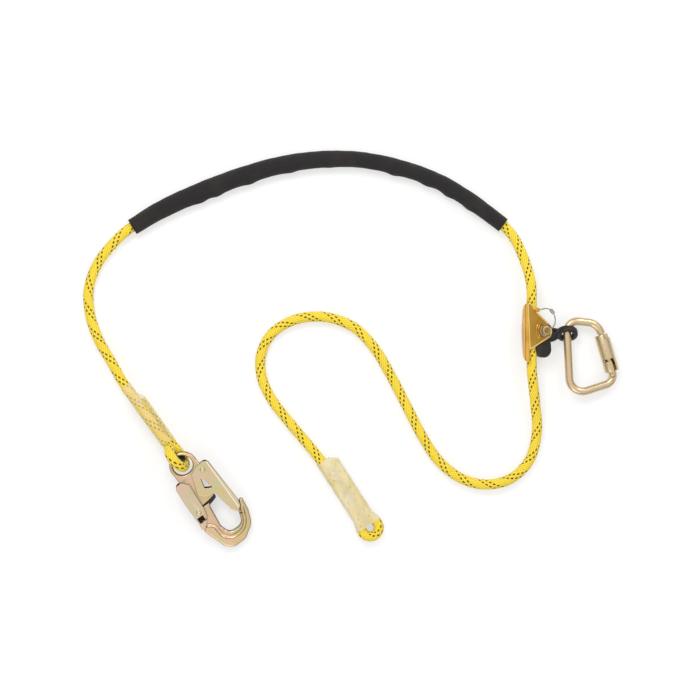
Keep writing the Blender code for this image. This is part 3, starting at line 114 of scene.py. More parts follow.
class Graph:
    # a node tree and the ways its nodes are made
    def __init__(self, tree):
        self.tree = tree

    def add(self, kind, settings=None, inputs=(), output=0):
        # a new node: a Value among its inputs becomes a link, and anything else a fixed value
        node = self.tree.nodes.new(kind)
        for key, value in (settings or {}).items():
            setattr(node, key, value)
        pairs = inputs.items() if isinstance(inputs, dict) else enumerate(inputs)
        for key, value in pairs:
            if isinstance(value, Value):
                self.tree.links.new(value.socket, node.inputs[key])
            else:
                node.inputs[key].default_value = value
        return Value(self, node.outputs[output])

    def place(self, kind="Object"):
        # where the shaded point is
        node = self.tree.nodes.new("ShaderNodeTexCoord")
        return Value(self, node.outputs[kind])

    def split(self, vector):
        # the x, y and z of a vector
        return [self.add("ShaderNodeSeparateXYZ", None, [vector], k) for k in range(3)]

    def noise(self, scale, detail, place=None):
        # noise whose lumps are 1 / scale metres wide
        inputs = {"Vector": place or self.place(), "Scale": scale, "Detail": detail, "Roughness": 0.5}
        return self.add("ShaderNodeTexNoise", None, inputs)

    def scratches(self, scale, squeeze):
        # noise of a squeezed place, as fine brushing: it is drawn out where the squeeze is small
        where = self.add("ShaderNodeMapping", None, {"Vector": self.place(), "Scale": squeeze})
        return self.noise(scale, 4.0, where)

    def mix(self, share, one, two):
        # colour one * (1 - share) + two * share
        inputs = {0: share, 6: (*one, 1.0) if isinstance(one, tuple) else one,
                  7: (*two, 1.0) if isinstance(two, tuple) else two}
        return self.add("ShaderNodeMix", {"data_type": "RGBA"}, inputs, 2)


class Finish(Graph):
    # one material: its Principled shader and the nodes that feed it
    def __init__(self, name, colour, roughness, metallic=0.0, **fixed):
        self.material = bpy.data.materials.new(name)
        self.material.use_nodes = True
        super().__init__(self.material.node_tree)
        self.shader = self.tree.nodes["Principled BSDF"]
        self.set("Base Color", (*colour, 1.0))
        self.set("Roughness", roughness)
        self.set("Metallic", metallic)
        for socket, value in fixed.items():
            self.set(socket.replace("_", " "), value)

    def set(self, name, value):
        # a Value is linked to the shader's socket, and anything else is its fixed value
        if isinstance(value, Value):
            self.tree.links.new(value.socket, self.shader.inputs[name])
        else:
            self.shader.inputs[name].default_value = value

    def bump(self, height, distance, strength=1.0):
        # relief: height 1 stands the distance over height 0
        inputs = {"Strength": strength, "Distance": distance, "Height": height}
        self.set("Normal", self.add("ShaderNodeBump", None, inputs))


ropeLook = dict(girth=math.pi * 12.7 * mm, pitch=66 * mm, strands=14, turnsAt=0.70, dash=(0.34, 0.35),
                dashPower=4, crownPower=0.55, divePower=0.45, least=0.45, yarns=(4, 1.3), yarnDepth=0.06,
                grainDepth=0.08, grain=900, soil=22, relief=0.45 * mm, yellow=(0.95, 0.73, 0.03),
                pale=(1.0, 0.86, 0.10), shade=(0.70, 0.46, 0.012), dirt=(0.45, 0.33, 0.06),
                tracer=(0.014, 0.010, 0.003), dust=(0.06, 0.05, 0.025))


def ropeSheath():
    # diamond braid: two families of strands wind in opposite ways, and the parity of their cell says
    # which lies on top. A tracer's dash is centred on each cell where its strand is on top, and runs a
    # little under its neighbours. Strands 0 and 2 of each seven of one family are tracers, and the
    # families change sides past turnsAt
    look = ropeLook
    made = Finish("ropeSheath", look["yellow"], 0.62, Sheen_Weight=0.2, Specular_IOR_Level=0.35)
    along, around, _ = made.split(made.place("UV"))
    around = around * (1 - along.below(look["turnsAt"]) * 2)
    one = (around / look["girth"] + along / look["pitch"]) * look["strands"]
    two = (around / look["girth"] - along / look["pitch"]) * look["strands"]
    parity = ((one.floor() + two.floor()) * 0.5).part().below(0.25)
    across = parity * one.part() + (1 - parity) * two.part()
    lengthwise = parity * two.part() + (1 - parity) * one.part()
    crown = (across * math.pi).sine() ** look["crownPower"]
    dive = (lengthwise * math.pi).sine() ** look["divePower"]
    height = crown * (look["least"] + (1 - look["least"]) * dive)
    turns = across * look["yarns"][0] + lengthwise * look["yarns"][1]
    yarn = (turns * 2 * math.pi).sine() * look["yarnDepth"]
    place = ((two + one.floor()) * 0.5 + 0.25).part() - 0.5
    width = (1 - (place.absolute() / look["dash"][0]) ** look["dashPower"]) * look["dash"][1]
    index = one.floor() % (look["strands"] / 2)
    chosen = (index - 1).absolute().over(0.5) * index.below(2.5)
    tracer = chosen * ((one.part() - 0.5).absolute() - width).below(0)
    grain = made.noise(look["grain"], 2.0)
    soil = made.noise(look["soil"], 4.0)
    # strand valleys take the darker shade colour, painted shade, and the crowns the pale one where the grain
    # is high, partly a painted highlight
    tone = made.mix(height.between(0.25, 1.0), look["shade"], look["yellow"])
    tone = made.mix((grain * height).between(0.35, 0.7), tone, look["pale"])
    tone = made.mix(soil.between(0.55, 0.85, 0.0, 0.22), tone, look["dirt"])
    dark = made.mix(grain.between(0.3, 0.8), look["tracer"], look["dust"])
    made.set("Base Color", made.mix(tracer, tone, dark))
    made.set("Roughness", grain.between(0.2, 0.8, 0.5, 0.75))
    made.bump(height + yarn + grain * look["grainDepth"], look["relief"])
    return made.material


webbingLook = dict(rib=1.25 * mm, pick=0.9 * mm, ribPower=0.6, least=0.55, fuzz=1500, wear=30, fuzzDepth=0.3,
                   relief=0.35 * mm, black=(0.012, 0.010, 0.011), grey=(0.038, 0.033, 0.034),
                   worn=(0.055, 0.047, 0.042))


def webbingCloth():
    # warp ribs run along the sleeve, sin(across) ** ribPower high, and the picks of each rib are half a
    # step off the next one's
    look = webbingLook
    made = Finish("webbingCloth", look["black"], 0.8, Sheen_Weight=0.1, Specular_IOR_Level=0.2)
    along, around, _ = made.split(made.place("UV"))
    rib = around / look["rib"]
    pick = along / look["pick"] + rib.floor() * 0.5
    arch = look["least"] + (1 - look["least"]) * (pick.part() * math.pi).sine()
    height = (rib.part() * math.pi).sine() ** look["ribPower"] * arch
    fuzz = made.noise(look["fuzz"], 3.0)
    worn = made.noise(look["wear"], 5.0)
    # the ribs' crowns lighter grey and the hollows between them black: painted shade in the weave, mottled by
    # the fuzz
    tone = made.mix((height * fuzz).between(0.15, 0.7), look["black"], look["grey"])
    tone = made.mix(worn.between(0.5, 0.8, 0.0, 0.3), tone, look["worn"])
    made.set("Base Color", tone)
    made.set("Roughness", fuzz.between(0.2, 0.8, 0.7, 0.95))
    made.bump(height + fuzz * look["fuzzDepth"], look["relief"])
    return made.material


filmLook = dict(haze=45, wrinkle=160, fleck=700, range=0.14, thicker=0.1, relief=0.6 * mm, strength=0.5)


def shrinkFilm(name, clear, milk, cream):
    # milky film: its haze, its wrinkles and its cream patches come from noise, and so does how much it
    # lets through
    look = filmLook
    made = Finish(name, milk, 0.3, Coat_Weight=0.25, Coat_Roughness=0.2)
    haze = made.noise(look["haze"], 4.0)
    wrinkle = made.noise(look["wrinkle"], 3.0)
    fleck = made.noise(look["fleck"], 2.0)
    made.set("Base Color", made.mix(haze.between(0.35, 0.7), milk, cream))
    made.set("Alpha", haze.between(0.3, 0.75, clear, clear + look["range"])
             + wrinkle.between(0.58, 0.75, 0.0, look["thicker"]))
    made.set("Roughness", wrinkle.between(0.3, 0.7, 0.22, 0.45))
    made.bump(haze + wrinkle * 0.5 + fleck * 0.06, look["relief"], look["strength"])
    return made.material


plateLook = dict(drift=38, second=61, spots=130, fine=260, along=(1.0, 5.0, 1.0), relief=0.02 * mm,
                 rubbed=(0.62, 0.58, 0.52), edgeAndShadeBrown=(0.13, 0.085, 0.045), edgeAndShadeShare=0.85, less=0.08, more=0.14)


def platedSteel(name, colours, rough, grainSize=900, wear=0.5, edges=(0.75, 1.0)):
    # zinc chromate: slow drifts between gold, rose and green, fine grain, rubbed spots, and a darker brown
    # where the rim attribute goes from one end of edges to the other: partly duller cut edges, partly
    # painted shade on faces that slope away from the flat sides
    look = plateLook
    made = Finish(name, colours[0], rough, 1.0)
    drift, second = made.noise(look["drift"], 3.0), made.noise(look["second"], 2.0)
    grain, fine = made.noise(grainSize, 4.0), made.scratches(look["fine"], look["along"])
    tone = made.mix(drift.between(0.42, 0.62), colours[0], colours[1])
    tone = made.mix(second.between(0.5, 0.68, 0.0, 0.8), tone, colours[2])
    tone = made.mix(made.noise(look["spots"], 6.0).between(0.6, 0.75, 0.0, wear), tone, look["rubbed"])
    rim = made.add("ShaderNodeAttribute", {"attribute_name": "rim"}, (), 2)
    # brown where faces slope: the duller cut edges, and painted shade in the bowl's groove and round the rims
    made.set("Base Color", made.mix(rim.between(*edges, 0.0, look["edgeAndShadeShare"]), tone, look["edgeAndShadeBrown"]))
    mean = fine * 0.5 + grain * 0.5
    made.set("Roughness", mean.between(0.3, 0.7, rough - look["less"], rough + look["more"]))
    made.bump(grain + fine * 0.6, look["relief"], 0.6)
    return made.material


metalLook = dict(fine=300, along=(1.0, 1.0, 6.0), spots=180, relief=0.03 * mm, less=0.07, more=0.15)


def plainMetal(name, colour, rough, worn):
    # bare metal: fine brushing, and spots of the worn colour where noise passes one half
    look = metalLook
    made = Finish(name, colour, rough, 1.0)
    fine, spots = made.scratches(look["fine"], look["along"]), made.noise(look["spots"], 5.0)
    made.set("Base Color", made.mix(spots.between(0.5, 0.75, 0.0, 0.6), colour, worn))
    made.set("Roughness", (fine + spots).between(0.7, 1.3, rough - look["less"], rough + look["more"]))
    made.bump(fine, look["relief"], 0.6)
    return made.material


goldLook = dict(cloud=32, fine=120, along=(1.0, 5.0, 1.0), spots=210, grain=900, relief=0.01 * mm,
                rubbed=(0.75, 0.62, 0.4))


def anodisedGold(name, deep, light):
    # clear orange dye over bright metal: slow clouds of amber, faint drawing lines and a few rubbed spots
    look = goldLook
    made = Finish(name, deep, 0.3, 1.0)
    cloud, fine = made.noise(look["cloud"], 3.0), made.scratches(look["fine"], look["along"])
    tone = made.mix(cloud.between(0.38, 0.66), deep, light)
    tone = made.mix(made.noise(look["spots"], 5.0).between(0.68, 0.78, 0.0, 0.5), tone, look["rubbed"])
    made.set("Base Color", tone)
    made.set("Roughness", (fine * 0.6 + cloud * 0.4).between(0.3, 0.7, 0.24, 0.38))
    made.bump(fine + made.noise(look["grain"], 2.0) * 0.3, look["relief"], 0.5)
    return made.material


blackLook = dict(spots=70, grain=900, relief=0.03 * mm, dark=(0.018, 0.016, 0.015),
                 worn=(0.045, 0.038, 0.032))


def blackOxide():
    # blackened steel: slow patches of a browner black, and fine grain
    look = blackLook
    made = Finish("blackOxide", (0.022, 0.019, 0.017), 0.42, 0.4)
    spots, grain = made.noise(look["spots"], 5.0), made.noise(look["grain"], 3.0)
    made.set("Base Color", made.mix(spots.between(0.45, 0.75), look["dark"], look["worn"]))
    made.set("Roughness", grain.between(0.3, 0.7, 0.34, 0.5))
    made.bump(grain + spots * 0.5, look["relief"], 0.6)
    return made.material


def grainy(name, colour, rough, size, detail, span, tones, dull, relief):
    # one noise drives all: the tone over its span, the roughness from 0.3 to 0.7, and the bump
    made = Finish(name, colour, rough)
    grain = made.noise(size, detail)
    made.set("Base Color", made.mix(grain.between(*span), *tones))
    made.set("Roughness", grain.between(0.3, 0.7, *dull))
    made.bump(grain, relief)
    return made.material


def paintedShadeInside():
    # nearly black painted shade for the insides of cuts, pockets and channels, mottled with brown by noise
    tones = (0.010, 0.008, 0.007), (0.045, 0.032, 0.02)
    return grainy("paintedShadeInside", (0.012, 0.010, 0.008), 0.6, 300, 4.0, (0.5, 0.75), tones, (0.5, 0.75),
                  0.05 * mm)


def mouldedLiner():
    # dark moulded plastic with a fine grain
    tones = (0.025, 0.022, 0.02), (0.07, 0.06, 0.052)
    return grainy("mouldedLiner", (0.035, 0.03, 0.028), 0.5, 800, 3.0, (0.3, 0.7), tones, (0.4, 0.6),
                  0.06 * mm)


threadLook = dict(ply=0.9 * mm, relief=0.1 * mm, dark=(0.10, 0.07, 0.02), light=(0.34, 0.25, 0.08))


def sewingThread():
    # twisted thread: its plies are abs(sin(along / ply + 2 * around)) high
    look = threadLook
    made = Finish("sewingThread", (0.20, 0.15, 0.05), 0.7, Sheen_Weight=0.2)
    along, around, _ = made.split(made.place("UV"))
    ply = ((along / look["ply"] + around * 2) * math.pi).sine().absolute()
    # the plies' crowns light and the grooves between them dark: painted shade in the twist
    made.set("Base Color", made.mix(ply, look["dark"], look["light"]))
    made.set("Roughness", ply.between(0.0, 1.0, 0.8, 0.55))
    made.bump(ply, look["relief"])
    return made.material


wireLook = dict(lay=4.2 * mm, girth=math.pi * 1.8 * mm, strands=6, relief=0.2 * mm, dark=(0.10, 0.095, 0.09),
                light=(0.46, 0.44, 0.41))


def wireRope():
    # laid wire: strands slant round the cable, abs(sin(along / lay + around / girth)) high
    look = wireLook
    made = Finish("wireRope", (0.55, 0.53, 0.50), 0.32, 1.0)
    along, around, _ = made.split(made.place("UV"))
    turns = along / look["lay"] + around / look["girth"]
    strand = (turns * look["strands"] * math.pi).sine().absolute()
    # the strands' crowns light and the grooves between them dark: painted shade in the lay
    made.set("Base Color", made.mix(strand.between(0.0, 0.6), look["dark"], look["light"]))
    made.set("Roughness", strand.between(0.0, 1.0, 0.55, 0.28))
    made.bump(strand, look["relief"])
    return made.material


chromateTones = ((0.63, 0.48, 0.25), (0.69, 0.48, 0.33), (0.53, 0.50, 0.28))
sheetTones = ((0.66, 0.53, 0.29), (0.72, 0.52, 0.40), (0.58, 0.57, 0.34))
barTones = ((0.64, 0.51, 0.28), (0.69, 0.51, 0.35), (0.57, 0.53, 0.33))
looks = {
    "rope": ropeSheath(),
    "webbing": webbingCloth(),
    "hookFilm": shrinkFilm("hookFilm", 0.18, (0.86, 0.70, 0.33), (0.92, 0.82, 0.52)),
    "stopFilm": shrinkFilm("stopFilm", 0.42, (0.84, 0.74, 0.44), (0.93, 0.88, 0.66)),
    # from a quarter of the way upright the forging browns: painted shade in its groove and on its rounded
    # rims
    "forged": platedSteel("chromateForging", chromateTones, 0.33, 900, 0.5, (0.25, 0.75)),
    "pressed": platedSteel("chromateSheet", sheetTones, 0.28, 1300, 0.35, (0.2, 0.7)),
    # lighter chromate and near-white metal for the gate's bend strips: painted highlights
    "bend": platedSteel("chromateBendHighlight", ((0.72, 0.60, 0.36), (0.74, 0.60, 0.44), (0.66, 0.62, 0.40)), 0.26),
    "bendHighlightLine": plainMetal("paintedBendHighlight", (0.95, 0.88, 0.72), 0.3, (0.85, 0.76, 0.6)),
    "bar": platedSteel("chromateBar", barTones, 0.3),
    "bright": plainMetal("brightSteel", (0.70, 0.66, 0.58), 0.26, (0.45, 0.42, 0.38)),
    "pin": plainMetal("pinSteel", (0.58, 0.42, 0.17), 0.34, (0.36, 0.25, 0.10)),
    "button": plainMetal("buttonSteel", (0.33, 0.23, 0.10), 0.4, (0.16, 0.11, 0.06)),
    "wire": plainMetal("springWire", (0.42, 0.40, 0.37), 0.35, (0.25, 0.22, 0.19)),
    "bronze": plainMetal("bushBronze", (0.62, 0.42, 0.18), 0.35, (0.35, 0.22, 0.10)),
    "gold": anodisedGold("anodisedGold", (0.66, 0.35, 0.055), (0.80, 0.46, 0.10)),
    # darker and lighter copies of the anodised gold: painted shade in the grab's sunk field, and a painted
    # highlight on the rim band round it
    "goldFieldShade": anodisedGold("anodisedFieldShade", (0.40, 0.22, 0.035), (0.53, 0.31, 0.06)),
    "goldRimHighlight": anodisedGold("anodisedRimHighlight", (0.93, 0.60, 0.14), (1.0, 0.72, 0.27)),
    "black": blackOxide(),
    "paintedShade": paintedShadeInside(),
    "liner": mouldedLiner(),
    "thread": sewingThread(),
    "cable": wireRope(),
}
print("materials made:", len(looks))


# Mesh tools

weld = 0.001 * mm


def unit(vectors):
    # each vector divided by its length
    return vectors / np.linalg.norm(vectors, axis=-1, keepdims=True)


def finishMesh(name, mesh, look, body, stands=(), sharp=38, inside=("paintedShade",)):
    # smooth but for edges over the sharp angle; a lined cut's faces carry the mark of their inside look
    mesh.shade_smooth()
    mesh.set_sharp_from_angle(angle=math.radians(sharp))
    marks = np.zeros(len(mesh.polygons), np.int32)
    mesh.polygons.foreach_get("material_index", marks)
    mesh.materials.clear()
    mesh.materials.append(looks[look])
    if marks.any():
        for lining in inside:
            mesh.materials.append(looks[lining])
        mesh.polygons.foreach_set("material_index", marks)
    piece = bpy.data.objects.new(name, mesh)
    bpy.context.scene.collection.objects.link(piece)
    if body:
        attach(piece, body)
    if stands:
        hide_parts(*stands)
    return piece


def closedUp(mesh, gap, lift=0.0, outward=True):
    # joins points that lie closer than the gap and raises the mesh by the lift. Its faces are turned
    # outward, or else its edges shorter than the gap are dissolved
    bm = bmesh.new()
    bm.from_mesh(mesh)
    bmesh.ops.remove_doubles(bm, verts=bm.verts, dist=gap)
    bmesh.ops.translate(bm, verts=bm.verts, vec=(0, 0, lift))
    if outward:
        bmesh.ops.recalc_face_normals(bm, faces=bm.faces)
    else:
        bmesh.ops.dissolve_degenerate(bm, edges=bm.edges, dist=gap)
    bm.to_mesh(mesh)
    bm.free()
    return mesh


def surfaceMesh(name, grids, caps=True):
    # each grid is rows x columns x (x, y, z, u, v): cell (i, j) joins points i * columns + j and + 1 to
    # the row after, a cap joins a whole end row, and a last column that repeats the first is merged
    points, corners, counts, first = [], [], [], 0
    for grid in grids:
        rows, columns = grid.shape[:2]
        i, j = np.meshgrid(np.arange(rows - 1), np.arange(columns - 1), indexing="ij")
        corner = first + (i * columns + j).ravel()
        corners.append(np.stack([corner, corner + 1, corner + columns + 1, corner + columns], -1).ravel())
        counts.append(np.full(len(corner), 4))
        if caps:
            ends = np.array([[0], [rows - 1]]) * columns + np.arange(columns - 1) + first
            corners.append(ends.ravel())
            counts.append(np.full(2, columns - 1))
        points.append(grid.reshape(-1, 5))
        first += rows * columns
    points = np.concatenate(points).astype(np.float32)
    corners, counts = np.concatenate(corners).astype(np.int32), np.concatenate(counts)
    mesh = bpy.data.meshes.new(name)
    mesh.vertices.add(len(points))
    mesh.vertices.foreach_set("co", points[:, :3].ravel())
    mesh.loops.add(len(corners))
    mesh.loops.foreach_set("vertex_index", corners)
    mesh.polygons.add(len(counts))
    mesh.polygons.foreach_set("loop_start", (np.cumsum(counts) - counts).astype(np.int32))
    mesh.uv_layers.new(name="UVMap").data.foreach_set("uv", points[corners, 3:].ravel())
    mesh.update(calc_edges=True)
    return closedUp(mesh, weld)


def surface(name, grids, look, body, stands=(), caps=True, sharp=38):
    # one piece of all the grids
    return finishMesh(name, surfaceMesh(name, grids, caps), look, body, stands, sharp)


def travelled(line):
    # length along the line up to each of its points
    steps = np.linalg.norm(np.diff(line, axis=0), axis=1)
    return np.concatenate([[0.0], np.cumsum(steps)])


def carried(line):
    # (side, lift) at each point of a line: side is level and to its right, lift is square to both
    along = unit(np.gradient(line, axis=0))
    side = unit(np.cross(along, up))
    return side, np.cross(side, along)


def placed(points, matrix):
    # points as the matrix places them: matrix * each point
    matrix = np.array(matrix)
    return points @ matrix[:3, :3].T + matrix[:3, 3]


def unrolled(points, u, v):
    # points with their u and v, each given for the rows, the columns or all of the grid
    ways = [np.broadcast_to(way, points.shape[:2])[..., None] for way in (u, v)]
    return np.concatenate([points, *ways], -1)


def tubeGrid(line, radius, sides=32):
    # circle of the radius carried along the line; u is the length travelled and v the way round, in metres
    side, lift = carried(line)
    turn = np.linspace(0, 2 * math.pi, sides + 1)
    radius = np.broadcast_to(radius, len(line))
    out = side[:, None] * np.cos(turn)[None, :, None] + lift[:, None] * np.sin(turn)[None, :, None]
    points = line[:, None] + out * radius[:, None, None]
    return unrolled(points, travelled(line)[:, None], turn * np.mean(radius))


def smoothLine(points, step):
    # centripetal curve through the points, evaluated as an array in each span
    given = np.array(points, float)
    padded = np.vstack([2 * given[0] - given[1], given, 2 * given[-1] - given[-2]])
    line = [given[:1]]
    for p0, p1, p2, p3 in zip(padded, padded[1:], padded[2:], padded[3:]):
        t1 = np.linalg.norm(p1 - p0) ** 0.5
        t2 = t1 + np.linalg.norm(p2 - p1) ** 0.5
        t3 = t2 + np.linalg.norm(p3 - p2) ** 0.5
        count = max(1, math.ceil(np.linalg.norm(p2 - p1) / step))
        t = (t1 + (t2 - t1) * np.arange(1, count + 1) / count)[:, None]
        a1 = p0 * (t1 - t) / t1 + p1 * t / t1
        a2 = p1 * (t2 - t) / (t2 - t1) + p2 * (t - t1) / (t2 - t1)
        a3 = p2 * (t3 - t) / (t3 - t2) + p3 * (t - t2) / (t3 - t2)
        b1 = a1 * (t2 - t) / t2 + a2 * t / t2
        b2 = a2 * (t3 - t) / (t3 - t1) + a3 * (t - t1) / (t3 - t1)
        line.append(b1 * (t2 - t) / (t2 - t1) + b2 * (t - t1) / (t2 - t1))
    return np.vstack(line)


almostStraight = math.radians(88)


def rounded(corners, step=7):
    # outline through corners (x, y, radius): each corner becomes an arc that touches both its sides, on
    # its half of each, or anywhere on one whose other corner is sharp. It touches them radius / tan(half
    # angle) away
    points = []
    for k, (x, y, radius) in enumerate(corners):
        here = np.array([x, y])
        before = np.array(corners[k - 1][:2]) - here
        after = np.array(corners[(k + 1) % len(corners)][:2]) - here
        shared = [2 if corners[other % len(corners)][2] > 0 else 1 for other in (k - 1, k + 1)]
        room = min(np.linalg.norm(before) / shared[0], np.linalg.norm(after) / shared[1])
        before, after = unit(before), unit(after)
        half = math.acos(max(-1.0, min(1.0, float(before @ after)))) / 2
        if radius <= 0 or half > almostStraight:
            points.append(here[None])
            continue
        reach = min(radius / math.tan(half), room)
        radius = reach * math.tan(half)
        centre = here + unit(before + after) * radius / math.sin(half)
        start = here + before * reach - centre
        side = 1 if after[0] * before[1] - after[1] * before[0] > 0 else -1
        turn = math.pi - 2 * half
        spin = side * np.linspace(0, turn, max(2, math.ceil(math.degrees(turn) / step)) + 1)
        points.append(centre + np.stack([start[0] * np.cos(spin) - start[1] * np.sin(spin),
                                         start[0] * np.sin(spin) + start[1] * np.cos(spin)], -1))
    return np.vstack(points)


def sized(shares, size):
    # shares of a size as lengths: each value * size
    return [tuple(value * size for value in corner) for corner in shares]


def ringOutline(x, y, radius, sides=48):
    # circle as an outline: x + radius * cos(turn), y + radius * sin(turn)
    turn = np.linspace(0, 2 * math.pi, sides, endpoint=False)
    return np.stack([x + radius * np.cos(turn), y + radius * np.sin(turn)], -1)


def moved(mesh, matrix):
    # matrix * each point, with the faces turned back where it mirrors
    mesh.transform(matrix)
    if matrix.determinant() < 0:
        mesh.flip_normals()
    return mesh


def slab(name, outlines, low, high, edge=0.0, edgeSteps=3):
    # flat plate between two heights with holes, its rims rounded by the edge, from a filled curve
    curve = bpy.data.curves.new(name, "CURVE")
    curve.dimensions, curve.fill_mode = "2D", "BOTH"
    curve.extrude = (high - low) / 2 - edge
    curve.bevel_depth, curve.bevel_resolution, curve.offset = edge, edgeSteps, -edge
    for outline in outlines:
        spline = curve.splines.new("POLY")
        spline.points.add(len(outline) - 1)
        flat = np.zeros((len(outline), 4))
        flat[:, :2], flat[:, 3] = outline, 1.0
        spline.points.foreach_set("co", flat.ravel())
        spline.use_cyclic_u = True
    holder = bpy.data.objects.new(name, curve)
    bpy.context.scene.collection.objects.link(holder)
    graph = bpy.context.evaluated_depsgraph_get()
    mesh = bpy.data.meshes.new_from_object(holder.evaluated_get(graph))
    bpy.data.objects.remove(holder, do_unlink=True)
    return closedUp(mesh, weld, (low + high) / 2)


def turnedGrid(profile, matrix, sides=64):
    # (radius, height) pairs carried round z; u is the way round and v the way along, in metres
    profile = np.array(profile, float)
    turn = np.linspace(0, 2 * math.pi, sides + 1)
    points = np.stack([np.outer(profile[:, 0], np.cos(turn)), np.outer(profile[:, 0], np.sin(turn)),
                       np.repeat(profile[:, 1:], sides + 1, 1)], -1)
    return unrolled(placed(points, matrix), turn * profile[:, 0].max(), travelled(profile)[:, None])


def turnedMesh(name, profile, matrix=Matrix.Identity(4), sides=64):
    # a profile that starts and ends on the axis, or that closes on itself, needs no caps
    closed = tuple(profile[0]) == tuple(profile[-1]) or profile[0][0] == 0
    return surfaceMesh(name, [turnedGrid(profile, matrix, sides)], not closed)


def rodMesh(name, radius, low, high, matrix=Matrix.Identity(4), sides=48):
    # cylinder about z between two heights
    return turnedMesh(name, [(0, low), (radius, low), (radius, high), (0, high)], matrix, sides)


def wedgeMesh(name, inner, outer, start, stop, low, high, matrix):
    # part of a ring from one angle to another, between two radii and two heights
    turn = np.linspace(start, stop, 15)
    outline = np.vstack([np.stack([outer * np.cos(turn), outer * np.sin(turn)], -1),
                         np.stack([inner * np.cos(turn), inner * np.sin(turn)], -1)[::-1]])
    return moved(slab(name, [outline], low, high), matrix)


def prismMesh(name, section, start, end):
    # flat outline (side, height) carried straight from one point of the plane to another
    section, start, end = np.array(section), np.array([*start, 0.0]), np.array([*end, 0.0])
    ring = unit(np.cross(end - start, up)) * section[:, :1] + up * section[:, 1:]
    ring = np.vstack([ring, ring[:1]])
    grid = np.stack([start + ring, end + ring])
    return surfaceMesh(name, [np.concatenate([grid, grid[..., :2]], -1)])


def rimmed(mesh):
    # keeps on each face how far it turns from the piece's flat sides, for the darker cut edges and the
    # painted shade on sloped faces
    normals = np.zeros(len(mesh.polygons) * 3, np.float32)
    mesh.polygons.foreach_get("normal", normals)
    mesh.attributes.new("rim", "FLOAT", "FACE").data.foreach_set("value", 1 - np.abs(normals[2::3]))
    return mesh


linings = 3
shaved = 0.002 * mm


def carve(mesh, tools, operation="DIFFERENCE", lined=(), mark=1):
    # exact Booleans of the tool meshes, applied at once; the cuts of lined tools carry the mark of their
    # inside look
    for part in (mesh, *tools, *lined):
        while len(part.materials) < linings + 1:
            part.materials.append(None)
    for tool in lined:
        tool.polygons.foreach_set("material_index", np.full(len(tool.polygons), mark, np.int32))
    target = bpy.data.objects.new("target", mesh)
    bpy.context.scene.collection.objects.link(target)
    helpers = []
    for tool in (*tools, *lined):
        helper = bpy.data.objects.new("tool", tool)
        bpy.context.scene.collection.objects.link(helper)
        step = target.modifiers.new("step", "BOOLEAN")
        step.operation, step.object, step.solver = operation, helper, "EXACT"
        helpers.append(helper)
    graph = bpy.context.evaluated_depsgraph_get()
    result = bpy.data.meshes.new_from_object(target.evaluated_get(graph))
    for helper in helpers + [target]:
        bpy.data.objects.remove(helper, do_unlink=True)
    return closedUp(result, shaved, outward=False)


def softenEdges(piece, width, angle=42, segments=2):
    # bevel of the width along the edges that bend by more than the angle
    step = piece.modifiers.new("softEdges", "BEVEL")
    step.width, step.segments, step.limit_method = width, segments, "ANGLE"
    step.angle_limit, step.use_clamp_overlap = math.radians(angle), True
    step.harden_normals = False
    return piece


def dress(look, *nodes):
    # gives carried-over solids their look in their own material slots
    for node in nodes:
        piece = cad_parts[node]
        piece.data.materials.clear()
        piece.data.materials.append(looks[look])


# Camera: straight down, so framed that one pixel of 700 is 1.25 mm
cameraLook = dict(height=3.0, pixel=1.25 * mm, pixels=700, sensor=36.0, centre=(-23.5 * mm, -1.4 * mm))
camera = bpy.data.objects.new("camera", bpy.data.cameras.new("camera"))
camera.data.sensor_width = cameraLook["sensor"]
camera.data.lens = cameraLook["sensor"] * cameraLook["height"] / (cameraLook["pixels"] * cameraLook["pixel"])
camera.location = (*cameraLook["centre"], cameraLook["height"])
bpy.context.scene.collection.objects.link(camera)
bpy.context.scene.camera = camera


# Rope, with a sewn eye at each end

ropeMade = dict(diameter=12.7 * mm, legGap=13.0 * mm, step=1.7 * mm, sides=40, ends=0.3, loopHalf=120,
                loopStep=24, sharp=60)
hookEye = dict(place=(-230.4 * mm, -145.4 * mm), heading=math.radians(-54.4), loopBack=14.0 * mm,
               loopRadius=14.8 * mm, loopHeight=20.6 * mm, steep=math.radians(72), sidestep=1.3 * mm,
               tubeStart=21 * mm, tailEnd=84 * mm, tubeEnd=109 * mm)
stopEye = dict(place=(1.5 * mm, -222.9 * mm), heading=math.radians(122.8), loopRadius=10.9 * mm,
               tubeStart=20 * mm, tailEnd=95 * mm, tubeEnd=101 * mm)
film = dict(gap=0.3 * mm, wall=0.8 * mm, floor=0.05 * mm)
filmOut = ropeMade["diameter"] / 2 + film["gap"] + film["wall"]
routeToSleeve = [
    (-0.3200, -0.0165, 0.0158), (-0.3374, 0.0130, 0.0093), (-0.3480, 0.0445, 0.0066),
    (-0.3491, 0.0761, 0.0066), (-0.3391, 0.1044, 0.0066), (-0.3244, 0.1250, 0.0075),
]
routeInSleeve = [
    (-0.3002, 0.1485, 0.00855), (-0.2593, 0.1731, 0.00855), (-0.2087, 0.1961, 0.00855),
    (-0.1589, 0.2149, 0.00855), (-0.1100, 0.2290, 0.00855), (-0.0609, 0.2361, 0.00855),
    (-0.0114, 0.2357, 0.00855), (0.0380, 0.2260, 0.00855), (0.0869, 0.2084, 0.00855),
    (0.1279, 0.1837, 0.00855), (0.1675, 0.1540, 0.00855),
]
routeToGrab = [
    (0.1813, 0.1375, 0.0095), (0.1940, 0.1090, 0.0140), (0.2008, 0.0835, 0.0190),
]
routeInGrab = [
    (0.2021, 0.0665, 0.0205), (0.2021, 0.0605, 0.0205), (0.2021, 0.0225, 0.0205),
    (0.2021, -0.0205, 0.0205), (0.2021, -0.0265, 0.0205),
]
